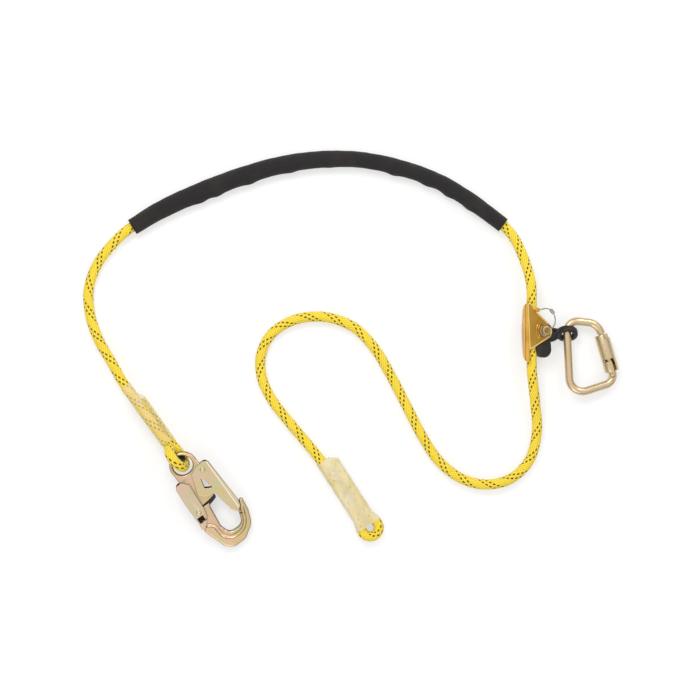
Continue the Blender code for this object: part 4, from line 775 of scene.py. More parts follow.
routeToStop = [
    (0.2042, -0.0455, 0.0190), (0.2071, -0.0700, 0.0140), (0.2095, -0.1014, 0.0085),
    (0.2005, -0.1384, 0.0066), (0.1761, -0.1624, 0.0066), (0.1451, -0.1691, 0.0066),
    (0.1156, -0.1617, 0.0066), (0.0884, -0.1410, 0.0066), (0.0676, -0.1107, 0.0066),
    (0.0469, -0.0710, 0.0066), (0.0260, -0.0307, 0.0066), (0.0060, 0.0023, 0.0066),
    (-0.0190, 0.0271, 0.0066), (-0.0547, 0.0397, 0.0066), (-0.0923, 0.0363, 0.0066),
    (-0.1211, 0.0188, 0.0066), (-0.1345, -0.0079, 0.0066), (-0.1335, -0.0357, 0.0066),
    (-0.1220, -0.0616, 0.0066), (-0.1002, -0.0903, 0.0065), (-0.0775, -0.1173, 0.0068),
]


def hookEyeAxes():
    # middle of the loop, the way back along its legs, from the standing leg to the tail, and the legs'
    # shift: the tail's film rests on the floor, filmOut plus the legs' slant below the legs' middle
    eye = hookEye
    ahead = np.array([math.cos(eye["heading"]), math.sin(eye["heading"]), 0.0])
    level = np.array([-ahead[1], ahead[0], 0.0])
    middle = np.array([*eye["place"], 0.0]) - ahead * eye["loopBack"] + up * eye["loopHeight"]
    side = level * math.cos(eye["steep"]) - up * math.sin(eye["steep"])
    tubeHeight = filmOut + film["floor"] + ropeMade["legGap"] / 2 * math.sin(eye["steep"])
    return middle, -ahead, side, level * eye["sidestep"] + up * (tubeHeight - eye["loopHeight"])


def stopEyeAxes():
    # the same for the level eye, whose legs aren't shifted
    back = np.array([math.cos(stopEye["heading"]), math.sin(stopEye["heading"]), 0.0])
    side = np.array([back[1], -back[0], 0.0])
    return np.array([*stopEye["place"], filmOut + film["floor"]]), back, side, np.zeros(3)


def eyeRoute(eye, axes):
    # arc of the loop, middle - back * cos(spin) + side * sin(spin), from the standing leg to the tail,
    # with both legs' first points in the tube
    middle, back, side, shift = axes
    start = eye["tubeStart"] - ropeMade["diameter"] * ropeMade["ends"]
    half = ropeMade["loopHalf"]
    spin = np.radians(np.arange(-half, half + 1, ropeMade["loopStep"]))[:, None]
    arc = middle - back * eye["loopRadius"] * np.cos(spin) + side * eye["loopRadius"] * np.sin(spin)
    legs = [middle + shift + back * start + side * ropeMade["legGap"] / 2 * way for way in (-1, 1)]
    return np.vstack([legs[0], arc, legs[1]])


def legRoute(axes, way, stations):
    # points of one leg, each station's length back from the loop's middle
    middle, back, side, shift = axes
    return [middle + shift + back * s + side * ropeMade["legGap"] / 2 * way for s in stations]


def ropeLine(step):
    # curve from the tail in the hook's eye, round both eyes and along the route, to the tail in the
    # stopper's eye
    eye, axes = hookEye, hookEyeAxes()
    margin = ropeMade["diameter"] * ropeMade["ends"]
    half = (eye["tailEnd"] + eye["tubeStart"]) / 2
    line = legRoute(axes, 1, (eye["tailEnd"], half)) + list(eyeRoute(eye, axes)[::-1])
    line += legRoute(axes, -1, (half, eye["tailEnd"], eye["tubeEnd"] + margin))
    line += [np.array(p) for p in routeToSleeve + routeInSleeve + routeToGrab + routeInGrab + routeToStop]
    eye, axes = stopEye, stopEyeAxes()
    line += legRoute(axes, -1, (eye["tubeEnd"] + margin, (eye["tubeEnd"] + eye["tubeStart"]) / 2))
    line += list(eyeRoute(eye, axes))
    line += legRoute(axes, 1, ((eye["tailEnd"] + eye["tubeStart"]) / 2, eye["tailEnd"]))
    return smoothLine(line, step)


def buildRope():
    # circle of half the diameter carried along the rope's line; its length is the line's
    line = ropeLine(ropeMade["step"])
    length = float(travelled(line)[-1])
    grid = tubeGrid(line, ropeMade["diameter"] / 2, ropeMade["sides"])
    rope = surface("braidedRope", [grid], "rope", "lanyard_rope", ["rope"], sharp=ropeMade["sharp"])
    return length


print("rope made:", round(buildRope(), 3), "m")


# Chafe sleeve of tubular webbing, with ripples pushed out on its inner side

sleeveMade = dict(height=17.0 * mm, wall=1.4 * mm, step=2.2 * mm, sides=56, start=5 * mm,
                  widths=(20.5, 22.6, 23.4, 22.9, 22.0, 21.0, 20.0, 19.8, 19.4, 19.8, 18.8),
                  bumps=((92, 1.6), (114, 1.9), (158, 1.6), (212, 1.3), (262, 0.8), (345, 1.8), (390, 1.5),
                         (420, 1.9), (452, 1.4)), bumpLength=8.0,
                  ripples=((0.22 * mm, 6.1 * mm, 0.0, 3, 0.8), (0.16 * mm, 2.7 * mm, 1.0, 5, 0.0)),
                  rippleRise=0.4, widePower=0.92, tallPower=0.88, innerPower=0.8, girth=9.5 * mm)


def doubleSkin(name, skins, look, stands):
    # outer and inner skins of a soft tube, closed by a lip at each end
    lips = [np.stack([skins[0][end], skins[1][end]]) for end in (0, -1)]
    surface(name, skins + lips, look, "lanyard_rope", [stands], caps=False, sharp=50)


def buildSleeve():
    # flattened ellipse carried along the rope's line. A bump swells its inner half by
    # height * exp(-(s / l) ** 2), and a ripple adds deep * sin(s / long + phase) * sin(folds * turn + start)
    made = sleeveMade
    line = smoothLine(routeInSleeve, made["step"])
    line = line[travelled(line) >= made["start"]]
    way = travelled(line)
    side, lift = carried(line)
    turn = np.linspace(0, 2 * math.pi, made["sides"] + 1)
    knots = np.linspace(0, way[-1], len(made["widths"]))
    half = np.interp(way, knots, np.array(made["widths"])) * mm / 2
    inner = np.clip(np.cos(turn), 0, 1) ** made["innerPower"]
    swell = sum(height * mm * np.exp(-((way / mm - at) / made["bumpLength"]) ** 2)
                for at, height in made["bumps"])
    ripple = sum(deep * np.sin(way / long + phase)[:, None] * np.sin(folds * turn + start)
                 for deep, long, phase, folds, start in made["ripples"])
    grids = []
    for wall in (0.0, made["wall"]):
        wide = half[:, None] - wall + ripple
        across = wide * np.sign(np.cos(turn)) * np.abs(np.cos(turn)) ** made["widePower"]
        across = across + swell[:, None] * inner
        tall = made["height"] / 2 - wall + ripple * made["rippleRise"]
        rise = tall * np.sign(np.sin(turn)) * np.abs(np.sin(turn)) ** made["tallPower"]
        points = line[:, None] + side[:, None] * across[..., None] + lift[:, None] * rise[..., None]
        points[..., 2] = np.maximum(points[..., 2], film["floor"] + wall)
        grids.append(unrolled(points, way[:, None], turn * made["girth"]))
    doubleSkin("webbingSleeve", grids, "webbing", "chafe_sleeve")


buildSleeve()
print("sleeve made")


# Heat-shrink films over the sewn eyes, and the stitching that shows through them

filmMade = dict(step=1.2 * mm, sides=64, pinch=0.5 * mm, taper=8 * mm, hookReach=0.0, stopReach=17 * mm,
                flare=4.0 * mm, flareFrom=16.2 * mm, flareLength=13.2 * mm, wrinkle=0.10 * mm,
                wrinkleLong=3.3 * mm, cross=6, waist=3)
stitchMade = dict(thread=0.5 * mm, pitch=4.6 * mm, reach=4.6 * mm, first=10 * mm, last=14 * mm, step=0.4 * mm,
                  sunk=0.15 * mm, dip=0.3)


def filmGrid(eye, axes, radius, reach):
    # two half circles joined by flats, radius * cos(turn) + half * tanh(cross * cos(turn)) wide: past the
    # tail's end they run straight in to one circle, and toward the loop they spread with the legs
    middle, back, side, shift = axes
    lift = np.cross(back, side)
    stations = np.arange(eye["tubeStart"] - reach, eye["tubeEnd"] + filmMade["step"] / 2, filmMade["step"])
    over = np.clip((stations - eye["tailEnd"] - 2 * film["gap"]) / filmMade["taper"], 0, 1)
    spread = np.clip((filmMade["flareFrom"] - stations) / filmMade["flareLength"], 0, 1) * filmMade["flare"]
    half = ropeMade["legGap"] / 2 * (1 - over) + spread
    turn = np.linspace(0, 2 * math.pi, filmMade["sides"] + 1)
    across = radius * np.cos(turn) + half[:, None] * np.tanh(np.cos(turn) * filmMade["cross"])
    wave = filmMade["wrinkle"] * np.sin(stations / filmMade["wrinkleLong"])
    wrinkle = wave[:, None] * np.sin(4 * turn + 1)
    apart = half / (ropeMade["legGap"] / 2)
    pinch = filmMade["pinch"] * apart[:, None] * np.exp(-(np.cos(turn) * filmMade["waist"]) ** 2)
    rise = (radius - pinch + wrinkle) * np.sin(turn)
    centre = middle + shift + back * stations[:, None] - side * (ropeMade["legGap"] / 2 * over)[:, None]
    points = centre[:, None] + side * (across + wrinkle)[..., None] + lift * rise[..., None]
    return unrolled(points, stations[:, None], turn * radius)


def buildStitching(name, eye, axes):
    # thread that runs in a zigzag over the two legs, arcsin(sin(s / pitch)), on both sides and just under
    # the film
    middle, back, side, shift = axes
    lift = np.cross(back, side)
    made = stitchMade
    s = np.arange(eye["tubeStart"] + made["first"], eye["tailEnd"] - made["last"], made["step"])
    zigzag = np.arcsin(np.sin(s / made["pitch"] * math.pi)) / (math.pi / 2) * made["reach"]
    flat = np.clip(np.abs(zigzag) - ropeMade["legGap"] / 2, 0, None)
    rise = ropeMade["diameter"] / 2 - made["sunk"] - flat * made["dip"]
    middles = middle + shift + back * s[:, None] + side * zigzag[:, None]
    grids = [tubeGrid(middles + lift * (face * rise)[:, None], made["thread"] / 2, 8) for face in (1, -1)]
    surface(name, grids, "thread", "lanyard_rope")


eyes = ("hook", hookEye, hookEyeAxes()), ("stop", stopEye, stopEyeAxes())
for end, eye, axes in eyes:
    reach = filmMade[end + "Reach"]
    skins = [filmGrid(eye, axes, radius, reach) for radius in (filmOut, filmOut - film["wall"])]
    doubleSkin(end + "EyeFilm", skins, end + "Film", end + "_end_shrink")
for end, eye, axes in eyes:
    buildStitching(end + "EyeStitches", eye, axes)
print("films made")


# Thimble in the hook's eye

thimbleMade = dict(wall=1.3 * mm, cup=math.radians(48), sweep=math.radians(108), rows=60, columns=17,
                   edge=0.35 * mm)


def buildThimble():
    # open gutter carried round the inside of the rope's loop: an arc of the cup's angle, one wall thick
    middle, back, side, _ = hookEyeAxes()
    made, columns = thimbleMade, thimbleMade["columns"]
    axle = np.cross(back, side)
    near = ropeMade["diameter"] / 2 + 2 * film["gap"]
    spin = np.linspace(-made["sweep"], made["sweep"], made["rows"])[:, None]
    out = -back * np.cos(spin) + side * np.sin(spin)
    centre = middle + out * hookEye["loopRadius"]
    turn = np.linspace(-made["cup"], made["cup"], columns)
    far = near + made["wall"]
    radii = np.repeat([far, near, far], [columns, columns, 1])
    turn = np.concatenate([turn, turn[::-1], turn[:1]])
    points = (centre[:, None] - out[:, None] * (radii * np.cos(turn))[None, :, None]
              + axle * (radii * np.sin(turn))[None, :, None])
    grid = unrolled(points, spin * hookEye["loopRadius"], turn * far)
    softenEdges(surface("thimbleLiner", [grid], "liner", "lanyard_rope", ["hook_thimble"]), made["edge"])


buildThimble()
print("thimble made")


# Snap hook, in a frame with x down its length from the eye's middle and y toward the gate

overrun = 2 * mm
hookMade = dict(reach=117.7 * mm, thick=10.0 * mm, edge=2.3 * mm, edgeSteps=5, full=0.999, eyeOuter=18.0 * mm,
                holeBack=13.0 * mm, holeAhead=10.5 * mm, holeWide=25.0 * mm, sheet=1.7 * mm, free=0.4 * mm,
                running=0.4 * mm, gap=0.3 * mm, rivet=2.5 * mm, rivetHead=3.1 * mm, headHeight=0.9 * mm,
                lug=8.4 * mm, coil=3.81 * mm, coilTurns=3, wire=1.1 * mm, tailStep=0.5 * mm, bend=1.2 * mm,
                rim=0.6 * mm, stripWide=5.6 * mm, stripDeep=1.3 * mm, lineWide=1.2 * mm, lineDeep=0.3 * mm,
                sharp=50)
bodyShares = [
    (0.255, -0.135, 0.25), (0.561, -0.160, 0.08), (0.697, -0.229, 0.06), (0.955, -0.143, 0.10),
    (1.018, -0.060, 0.10), (1.014, 0.085, 0.12), (0.918, 0.229, 0.11), (0.782, 0.285, 0.09),
    (0.629, 0.306, 0.03), (0.629, 0.262, 0.026), (0.686, 0.238, 0.026), (0.748, 0.186, 0.026),
    (0.862, 0.144, 0.085), (0.862, -0.017, 0.085), (0.748, -0.051, 0.05), (0.500, -0.020, 0.03),
    (0.469, 0.095, 0.026), (0.404, 0.083, 0.026), (0.345, -0.030, 0.03), (0.214, 0.000, 0.03),
]
gateShares = [
    (0.075, 0.110, 0.03), (0.075, 0.212, 0.05), (0.112, 0.240, 0.03), (0.616, 0.258, 0.025),
    (0.682, 0.246, 0.02), (0.739, 0.192, 0.016), (0.668, 0.146, 0.05), (0.510, 0.116, 0.03),
    (0.425, 0.110, 0.025), (0.412, 0.021, 0.03), (0.344, -0.060, 0.018), (0.300, -0.045, 0.06),
    (0.116, 0.019, 0.03),
]
gateWindowShares = [(0.180, 0.080, 0.01), (0.318, 0.046, 0.01), (0.362, 0.122, 0.01)]
leverShares = [
    (0.127, -0.120, 0.02), (0.127, -0.208, 0.045), (0.340, -0.222, 0.3), (0.600, -0.224, 0.06),
    (0.680, -0.236, 0.02), (0.664, -0.185, 0.025), (0.590, -0.110, 0.05), (0.475, -0.081, 0.05),
    (0.350, -0.075, 0.05), (0.195, -0.062, 0.02),
]
gateBackShare = 0.612
gateTrimShares = [(0.0, -1.0, 0.0), (0.0, 0.222, 0.0), *gateShares[2:5], (0.76, 0.154, 0.0),
                  (0.76, -1.0, 0.0)]
stripShares = [(0.9, 0.267), (-0.1, 0.274)]
leverBackShare = 0.575
leverTrimShares = [(0.0, 1.0, 0.0), (0.0, -0.190, 0.0), *leverShares[1:5], (0.720, -0.236, 0.0),
                   (0.720, 1.0, 0.0)]
leverWindowShares = [(0.534, -0.119, 0.006), (0.600, -0.119, 0.006), (0.600, -0.209, 0.006),
                     (0.534, -0.209, 0.006)]
grooveMade = dict(radius=2.6 * mm, lift=0.8 * mm, step=1.2 * mm)
grooveShares = [(0.632, -0.215), (0.668, -0.150), (0.715, -0.105), (0.775, -0.100), (0.850, -0.085),
                (0.905, -0.030), (0.918, 0.065), (0.895, 0.140), (0.835, 0.195), (0.775, 0.222),
                (0.715, 0.245)]
gateRivetAt, lockRivetAt = sized([(0.143, 0.144), (0.492, -0.154)], hookMade["reach"])
sunkShares = [
    ("catch", 7.0 * mm, [(0.539, -0.139), (0.594, -0.139), (0.594, -0.240), (0.539, -0.240)]),
    ("shade", 2.6 * mm, [(0.453, -0.088), (0.470, -0.088), (0.474, -0.010), (0.520, -0.022), (0.484, 0.135),
                         (0.422, 0.130), (0.445, 0.000)]),
    ("noseLine", 1.6 * mm, [(0.738, 0.176), (0.749, 0.170), (0.785, 0.238), (0.774, 0.246)]),
]
springTailShares = [(0.100, -0.128, 0.050), (0.118, -0.118, 0.053), (0.128, -0.090, 0.053),
                    (0.134, -0.058, 0.052)]


def hookMatrix():
    # the hook hangs from the rope's loop at one end and lies on the floor at the other, so its dip is
    # arcsin(drop / length)
    drop = hookEye["loopHeight"] - hookMade["thick"] / 2 - film["floor"]
    dip = math.asin(drop / (hookMade["reach"] + hookEye["loopBack"]))
    turn = Matrix.Rotation(hookEye["heading"], 4, "Z") @ Matrix.Rotation(dip, 4, "Y")
    height = hookEye["loopHeight"] - hookEye["loopBack"] * math.sin(dip)
    return Matrix.Translation((*hookEye["place"], height)) @ turn


def buildHookBody(matrix):
    # plate of the eye, the lug and the bowl, with its hole, rivet holes, spring pocket and sunk forms, which
    # are lined with near-black painted shade
    made = hookMade
    (rx, ry), lug, outer = gateRivetAt, made["lug"], made["eyeOuter"]
    corners = [(-outer, -outer, outer * made["full"])] + sized(bodyShares, made["reach"]) + [
        (rx + lug, 0.0, 0.0), (rx + lug, ry + lug, lug), (rx - lug, ry + lug, lug), (rx - lug, outer, 0.0),
        (-outer, outer, outer * made["full"])]
    back, ahead, wide = made["holeBack"], made["holeAhead"], made["holeWide"] / 2
    hole = rounded([(x, y, wide * made["full"])
                    for x, y in ((-back, -wide), (ahead, -wide), (ahead, wide), (-back, wide))])
    half = made["thick"] / 2
    mesh = slab("forgedHook", [rounded(corners), hole], -half, half, made["edge"], made["edgeSteps"])
    tools = [rodMesh("rivetHole", made["rivet"] + made["gap"], -half - overrun, half + overrun,
                     Matrix.Translation((*spot, 0))) for spot in (gateRivetAt, lockRivetAt)]
    pocket = made["coil"] + made["wire"] / 2 + made["gap"]
    room = (made["coilTurns"] + 1) * (made["wire"] + made["gap"] / 2) + made["gap"]
    tools.append(rodMesh("pocket", pocket, half - room, half + overrun, Matrix.Translation((rx, ry, 0))))
    cuts = [slab(name, [np.array(sized(shares, made["reach"]))], half - deep, half + overrun)
            for name, deep, shares in sunkShares]
    # the sunk forms' faces take near-black painted shade: the catch pocket, the band by the gate's heel and
    # the line under the nose
    mesh = carve(mesh, tools, lined=cuts)
    for face in (1, -1):
        # groove between the bowl's web and its round inner bar: a circle carried along the shares' curve
        line = smoothLine([(x, y, face * (half + grooveMade["lift"]))
                           for x, y in sized(grooveShares, made["reach"])], grooveMade["step"])
        mesh = carve(mesh, [surfaceMesh("groove", [tubeGrid(line, grooveMade["radius"], 20)])])
    finishMesh("forgedHook", moved(rimmed(mesh), matrix), "forged", "snap_hook", ["hook_body"], made["sharp"])


def channelMesh(name, outlines, half, walls, trimShares):
    # slab with thin rims, hollowed between its cheeks, and its back wall rounded off by the wider-bent
    # trim outline
    made, outer = hookMade, half + hookMade["sheet"]
    mesh = slab(name, outlines, -outer, outer, made["rim"])
    # the hollow's faces take the first inside look, near-black painted shade
    mesh = carve(mesh, [], lined=[slab(name + "Inside", [np.array(walls)], -half, half)])
    trim = rounded(sized(trimShares, made["reach"]))
    return carve(mesh, [slab(name + "Trim", [trim], -outer, outer, made["bend"], 6)], "INTERSECT")


gateHalf = hookMade["thick"] / 2 + hookMade["free"]
leverHalf = gateHalf + hookMade["sheet"] + hookMade["running"]


def buildGate(matrix):
    # channel that is open toward the bowl and at its end, with a window and a strip along each bend that
    # is painted lighter, with a near-white line at its inner edge: painted highlights
    made, reach = hookMade, hookMade["reach"]
    outlines = [rounded(sized(shares, reach)) for shares in (gateShares, gateWindowShares)]
    low = (gateShares[2][0] * reach, gateShares[2][1] * reach - made["sheet"])
    high = (gateBackShare * reach, gateShares[3][1] * reach - made["sheet"])
    walls = [(-reach / 4, low[1]), low, high, (high[0], reach / 2), (reach, reach / 2), (reach, -reach / 2),
             (-reach / 4, -reach / 2)]
    hole = ringOutline(*gateRivetAt, made["rivet"] + made["running"])
    mesh = channelMesh("pressedGate", [*outlines, hole], gateHalf, walls, gateTrimShares)
    top, wide, deep = gateHalf + made["sheet"], made["stripWide"], made["stripDeep"]
    far = (-wide, top), (wide, top - 2 * deep), (wide, top + wide), (-wide, top + wide)
    line = made["lineWide"] / 2
    low, high = (-wide - line, top - made["lineDeep"]), (line - wide, top + wide)
    near = low, (high[0], low[1]), high, (low[0], high[1])
    # mark 2 takes the lighter chromate over the strip and mark 3 the near-white line: painted highlights
    for mark, section in ((2, far), (3, near)):
        strips = [prismMesh("strip", [(x, z * face) for x, z in section], *sized(stripShares, reach))
                  for face in (1, -1)]
        mesh = carve(mesh, [], lined=strips, mark=mark)
    finishMesh("pressedGate", moved(rimmed(mesh), matrix), "pressed", "hook_gate", ["hook_gate"], 8,
               ("paintedShade", "bend", "bendHighlightLine"))


def buildLever(matrix):
    # channel that is open toward the body, over the gate's cheeks, with a window in its upper cheek
    made, reach = hookMade, hookMade["reach"]
    back, end = leverShares[1][1] * reach + made["sheet"], leverBackShare * reach
    walls = [(-reach / 4, reach / 4), (-reach / 4, back), (end, back), (end, -reach / 2), (reach, -reach / 2),
             (reach, reach / 4)]
    hole = ringOutline(*lockRivetAt, made["rivet"] + made["running"])
    outlines = [rounded(sized(leverShares, reach)), hole]
    mesh = channelMesh("lockLever", outlines, leverHalf, walls, leverTrimShares)
    window = rounded(sized(leverWindowShares, reach))
    cut = slab("window", [window], leverHalf - made["gap"], leverHalf + made["sheet"] + overrun)
    # the window's cut faces take near-black painted shade
    mesh = carve(mesh, [], lined=[cut])
    finishMesh("lockLever", moved(rimmed(mesh), matrix), "pressed", "lock_lever", ["lock_lever"], 45)


def buildSpringTail(matrix):
    # end of the lever's spring, bent over the body beside the eye: a round wire carried along its curve
    line = smoothLine(np.array(springTailShares) * hookMade["reach"], hookMade["tailStep"])
    grid = tubeGrid(placed(line, matrix), hookMade["wire"] / 2, 12)
    surface("springTail", [grid], "wire", "snap_hook")


rivetMade = dict(crown=0.45, foot=0.3, dimple=0.3, dimpleRim=0.3 * mm, dimpleDeep=0.4 * mm)


def buildRivet(name, spot, outer, matrix, stands):
    # shank and two heads that are domed from crown to all of their radius and from foot to all of their
    # height, by cos(t) and sin(t), each dimpled in the middle by the riveting punch
    made, head, low = rivetMade, hookMade["rivetHead"], outer + hookMade["gap"]
    high, crown, foot = low + hookMade["headHeight"], made["crown"], made["foot"]
    dome = [(hookMade["rivet"], low), (head, low)]
    dome += [(head * (crown + (1 - crown) * math.cos(t)),
              low + (high - low) * (foot + (1 - foot) * math.sin(t))) for t in np.linspace(0, math.pi / 2, 9)]
    dome += [(head * made["dimple"], high - made["dimpleRim"]), (0.0, high - made["dimpleDeep"])]
    profile = [(r, -z) for r, z in reversed(dome)] + dome
    mesh = turnedMesh(name, profile, matrix @ Matrix.Translation((*spot, 0)))
    finishMesh(name, mesh, "bar", "snap_hook", [stands])


hookPlace = hookMatrix()
buildHookBody(hookPlace)
buildGate(hookPlace)
buildLever(hookPlace)
buildSpringTail(hookPlace)
buildRivet("gateRivet", gateRivetAt, gateHalf + hookMade["sheet"], hookPlace, "gate_rivet")
buildRivet("lockRivet", lockRivetAt, leverHalf + hookMade["sheet"], hookPlace, "lock_rivet")
dress("wire", "gate_spring", "lock_spring", "barrel_spring", "plunger_spring")
print("snap hook made")


# Rope grab, in a frame on the rope's axis: x toward the cam, y along the rope

grabMade = dict(place=(202.1 * mm, 22.75 * mm, 20.5 * mm), tilt=math.radians(18), length=75 * mm,
                sheet=2.5 * mm, half=9.7 * mm, back=11.9 * mm, bend=3.6 * mm, axle=14.5 * mm, gap=0.3 * mm,
                running=0.4 * mm, pinHole=4.65 * mm, ribs=((0.116, 1.8 * mm), (0.152, 1.8 * mm)),
                ribHeight=1.1 * mm, ribArc=(math.radians(128), math.radians(248)), ribSteps=24,
                ribTaper=3, ribEnd=0.2,
                fieldDeep=0.8 * mm, rimDeep=0.15 * mm, lowerEnds=(0.365, -0.440), lowerOver=1.5 * mm,
                edge=0.3 * mm)
shellShares = [
    (-0.20, 0.457, 0.0), (-0.072, 0.457, 0.03), (0.020, 0.330, 0.03), (0.296, 0.078, 0.05),
    (0.312, -0.020, 0.05), (0.290, -0.102, 0.05), (-0.062, -0.312, 0.03), (-0.092, -0.312, 0.02),
    (-0.088, -0.520, 0.03), (-0.20, -0.520, 0.0),
]
spineShares = [
    (-0.068, 0.470, 0.04), (-0.130, 0.425, 0.10), (-0.148, 0.340, 0.20), (-0.166, 0.010, 0.0),
    (-0.148, -0.350, 0.20), (-0.128, -0.490, 0.10), (-0.070, -0.525, 0.04), (0.60, -0.60, 0.0),
    (0.60, 0.60, 0.0),
]
fieldShares = [
    (-0.106, 0.430, 0.02), (-0.074, 0.434, 0.02), (0.008, 0.312, 0.03), (0.276, 0.064, 0.035),
    (0.289, -0.020, 0.035), (0.269, -0.088, 0.035), (-0.056, -0.284, 0.02), (-0.072, -0.280, 0.02),
]
rimShares = [
    (-0.121, 0.444, 0.02), (-0.068, 0.450, 0.02), (0.016, 0.326, 0.03), (0.290, 0.074, 0.045),
    (0.306, -0.020, 0.045), (0.284, -0.098, 0.045), (-0.058, -0.303, 0.02), (-0.086, -0.298, 0.02),
]
camShares = [
    (0.110, 0.040, 0.03), (0.028, -0.110, 0.04), (0.026, -0.340, 0.05), (0.100, -0.425, 0.08),
    (0.225, -0.462, 0.12), (0.322, -0.370, 0.14), (0.312, -0.235, 0.14), (0.270, 0.060, 0.06),
]
camMade = dict(thick=13.2 * mm, edge=1.0 * mm, boss=7.4 * mm, ridges=6, ridgePitch=4.2 * mm,
               ridgeDepth=0.7 * mm, ridgeFoot=0.35, bore=6.45 * mm,
               ringMiddle=(246.6 * mm, 19.1 * mm, 13.35 * mm), ringSteep=math.radians(55),
               ringHole=6.8 * mm, ringOuter=13.4 * mm, ringThick=7.6 * mm,
               ringInner=3.6 * mm, ringFlank=2.4 * mm, flankRound=1.2 * mm, rimRound=1.6 * mm, holeRound=0.9,
               holeTrim=0.1 * mm, armRoot=17 * mm, armEnd=16 * mm, armThick=9 * mm, armDrop=7.2 * mm,
               armRound=0.75, straight=0.38)
pinMade = dict(radius=3.9 * mm, bore=2.0 * mm, head=5.4 * mm, headHeight=4.5 * mm, collar=6.4 * mm,
               collarHeight=1.2 * mm, tail=5.0 * mm, ball=1.5 * mm, proud=0.45 * mm, button=1.6 * mm,
               cap=2.9 * mm, capHeight=1.6 * mm, capProud=1.5 * mm, depth=16 * mm, chamfer=0.5 * mm,
               rim=0.2 * mm, wire=0.5 * mm, coils=3, pressed=0.5)
pinNoseShares = [(0.6, 0.0), (0.9, 0.15), (1.0, 0.4)]
cableMade = dict(diameter=1.8 * mm, drawn=0.75 * mm, gap=0.6 * mm, rise=3.1 * mm, loop=(24, 325, 30),
                 step=0.6 * mm)
cableRoute = [
    (0.0036, 0.0256, 0.0122), (0.0094, 0.0266, 0.0126), (0.0150, 0.0272, 0.0136), (0.0196, 0.0255, 0.0146),
    (0.0230, 0.0215, 0.0150), (0.0252, 0.0150, 0.0148), (0.0252, 0.0085, 0.0140),
]
grabPlace = Matrix.Translation(grabMade["place"]) @ Matrix.Rotation(grabMade["tilt"], 4, "Y")
axlePlace = grabPlace @ Matrix.Translation((grabMade["axle"], 0, 0))


def ribMesh(radius, width, floor):
    # raised arc round the pin on the plate: a circle carried along it, thinner at its ends and flattened
    # to the rib's height, floor + (z - floor) * height / (width / 2)
    made, steps = grabMade, grabMade["ribSteps"]
    turn = np.linspace(*made["ribArc"], steps)
    line = np.stack([made["axle"] + radius * np.cos(turn), radius * np.sin(turn), np.full(steps, floor)], -1)
    inward = np.minimum(np.arange(steps), np.arange(steps)[::-1])
    grid = tubeGrid(line, width / 2 * np.minimum(1, inward / made["ribTaper"] + made["ribEnd"]), 16)
    grid[..., 2] = floor + (grid[..., 2] - floor) * made["ribHeight"] / (width / 2)
    return surfaceMesh("rib", [grid])


def buildShell():
    # U section of the bent sheet carried along the rope, cut to the outline of its two plates, and its
    # spine's ends rounded off by an outline that is carried straight up; the lower plate ends where that
    # rounding starts
    made, far = grabMade, grabMade["length"]
    half, back, sheet, bendOut = made["half"], made["back"], made["sheet"], made["bend"]
    section = rounded([(far, half, 0), (-back, half, bendOut), (-back, -half, bendOut), (far, -half, 0),
                       (far, sheet - half, 0), (sheet - back, sheet - half, bendOut - sheet),
                       (sheet - back, half - sheet, bendOut - sheet), (far, half - sheet, 0)])
    upright = Matrix(((1, 0, 0, 0), (0, 0, 1, 0), (0, 1, 0, 0), (0, 0, 0, 1)))
    mesh = moved(slab("shell", [section], -far, far), upright)
    mesh = carve(mesh, [slab("trim", [rounded(sized(shellShares, far))], -far / 2, far / 2)], "INTERSECT")
    spine = slab("spine", [rounded(sized(spineShares, far))], -far, far)
    mesh = carve(mesh, [moved(spine, Matrix.Rotation(-made["tilt"], 4, "Y"))], "INTERSECT")
    ends = [slab("end", [np.array(sized([(-1, low), (1, low), (1, high), (-1, high)], far))], -half - overrun,
                 sheet + made["lowerOver"] - half)
            for low, high in ((made["lowerEnds"][0], 1.0), (-1.0, made["lowerEnds"][1]))]
    mesh = carve(mesh, ends)
    # the rim band takes the lighter gold, a painted highlight, and the sunk field the darker gold, painted
    # shade
    for shares, deep, mark in ((rimShares, made["rimDeep"], 2), (fieldShares, made["fieldDeep"], 1)):
        outline = rounded(sized(shares, far))
        faces = (half - deep, half + overrun), (-half - overrun, deep - half)
        mesh = carve(mesh, [], lined=[slab("field", [outline], *face) for face in faces], mark=mark)
    floor = half - made["fieldDeep"]
    ribs = [ribMesh(share * far + width / 2, width, floor) for share, width in made["ribs"]]
    mesh = carve(mesh, ribs, "UNION")
    pin = Matrix.Translation((made["axle"], 0, 0))
    mesh = carve(mesh, [rodMesh("pinHole", made["pinHole"], -half - overrun, half + overrun, pin)])
    piece = finishMesh("bentShell", moved(mesh, grabPlace), "gold", "rope_grab", ["grab_shell"], 40,
                       ("goldFieldShade", "goldRimHighlight"))
    softenEdges(piece, made["edge"], 55, 3)


def ringAxes():
    # the carabiner's ring in the grab's frame: its middle, and its axes across, upslope and along its bore
    turn = Matrix.Rotation(-grabMade["tilt"], 3, "Y")
    centre = turn @ (Vector(camMade["ringMiddle"]) - Vector(grabMade["place"]))
    across = turn @ Vector((1, 0, 0))
    slope = turn @ Vector((0, math.cos(camMade["ringSteep"]), math.sin(camMade["ringSteep"])))
    return centre, across, slope, across.cross(slope)


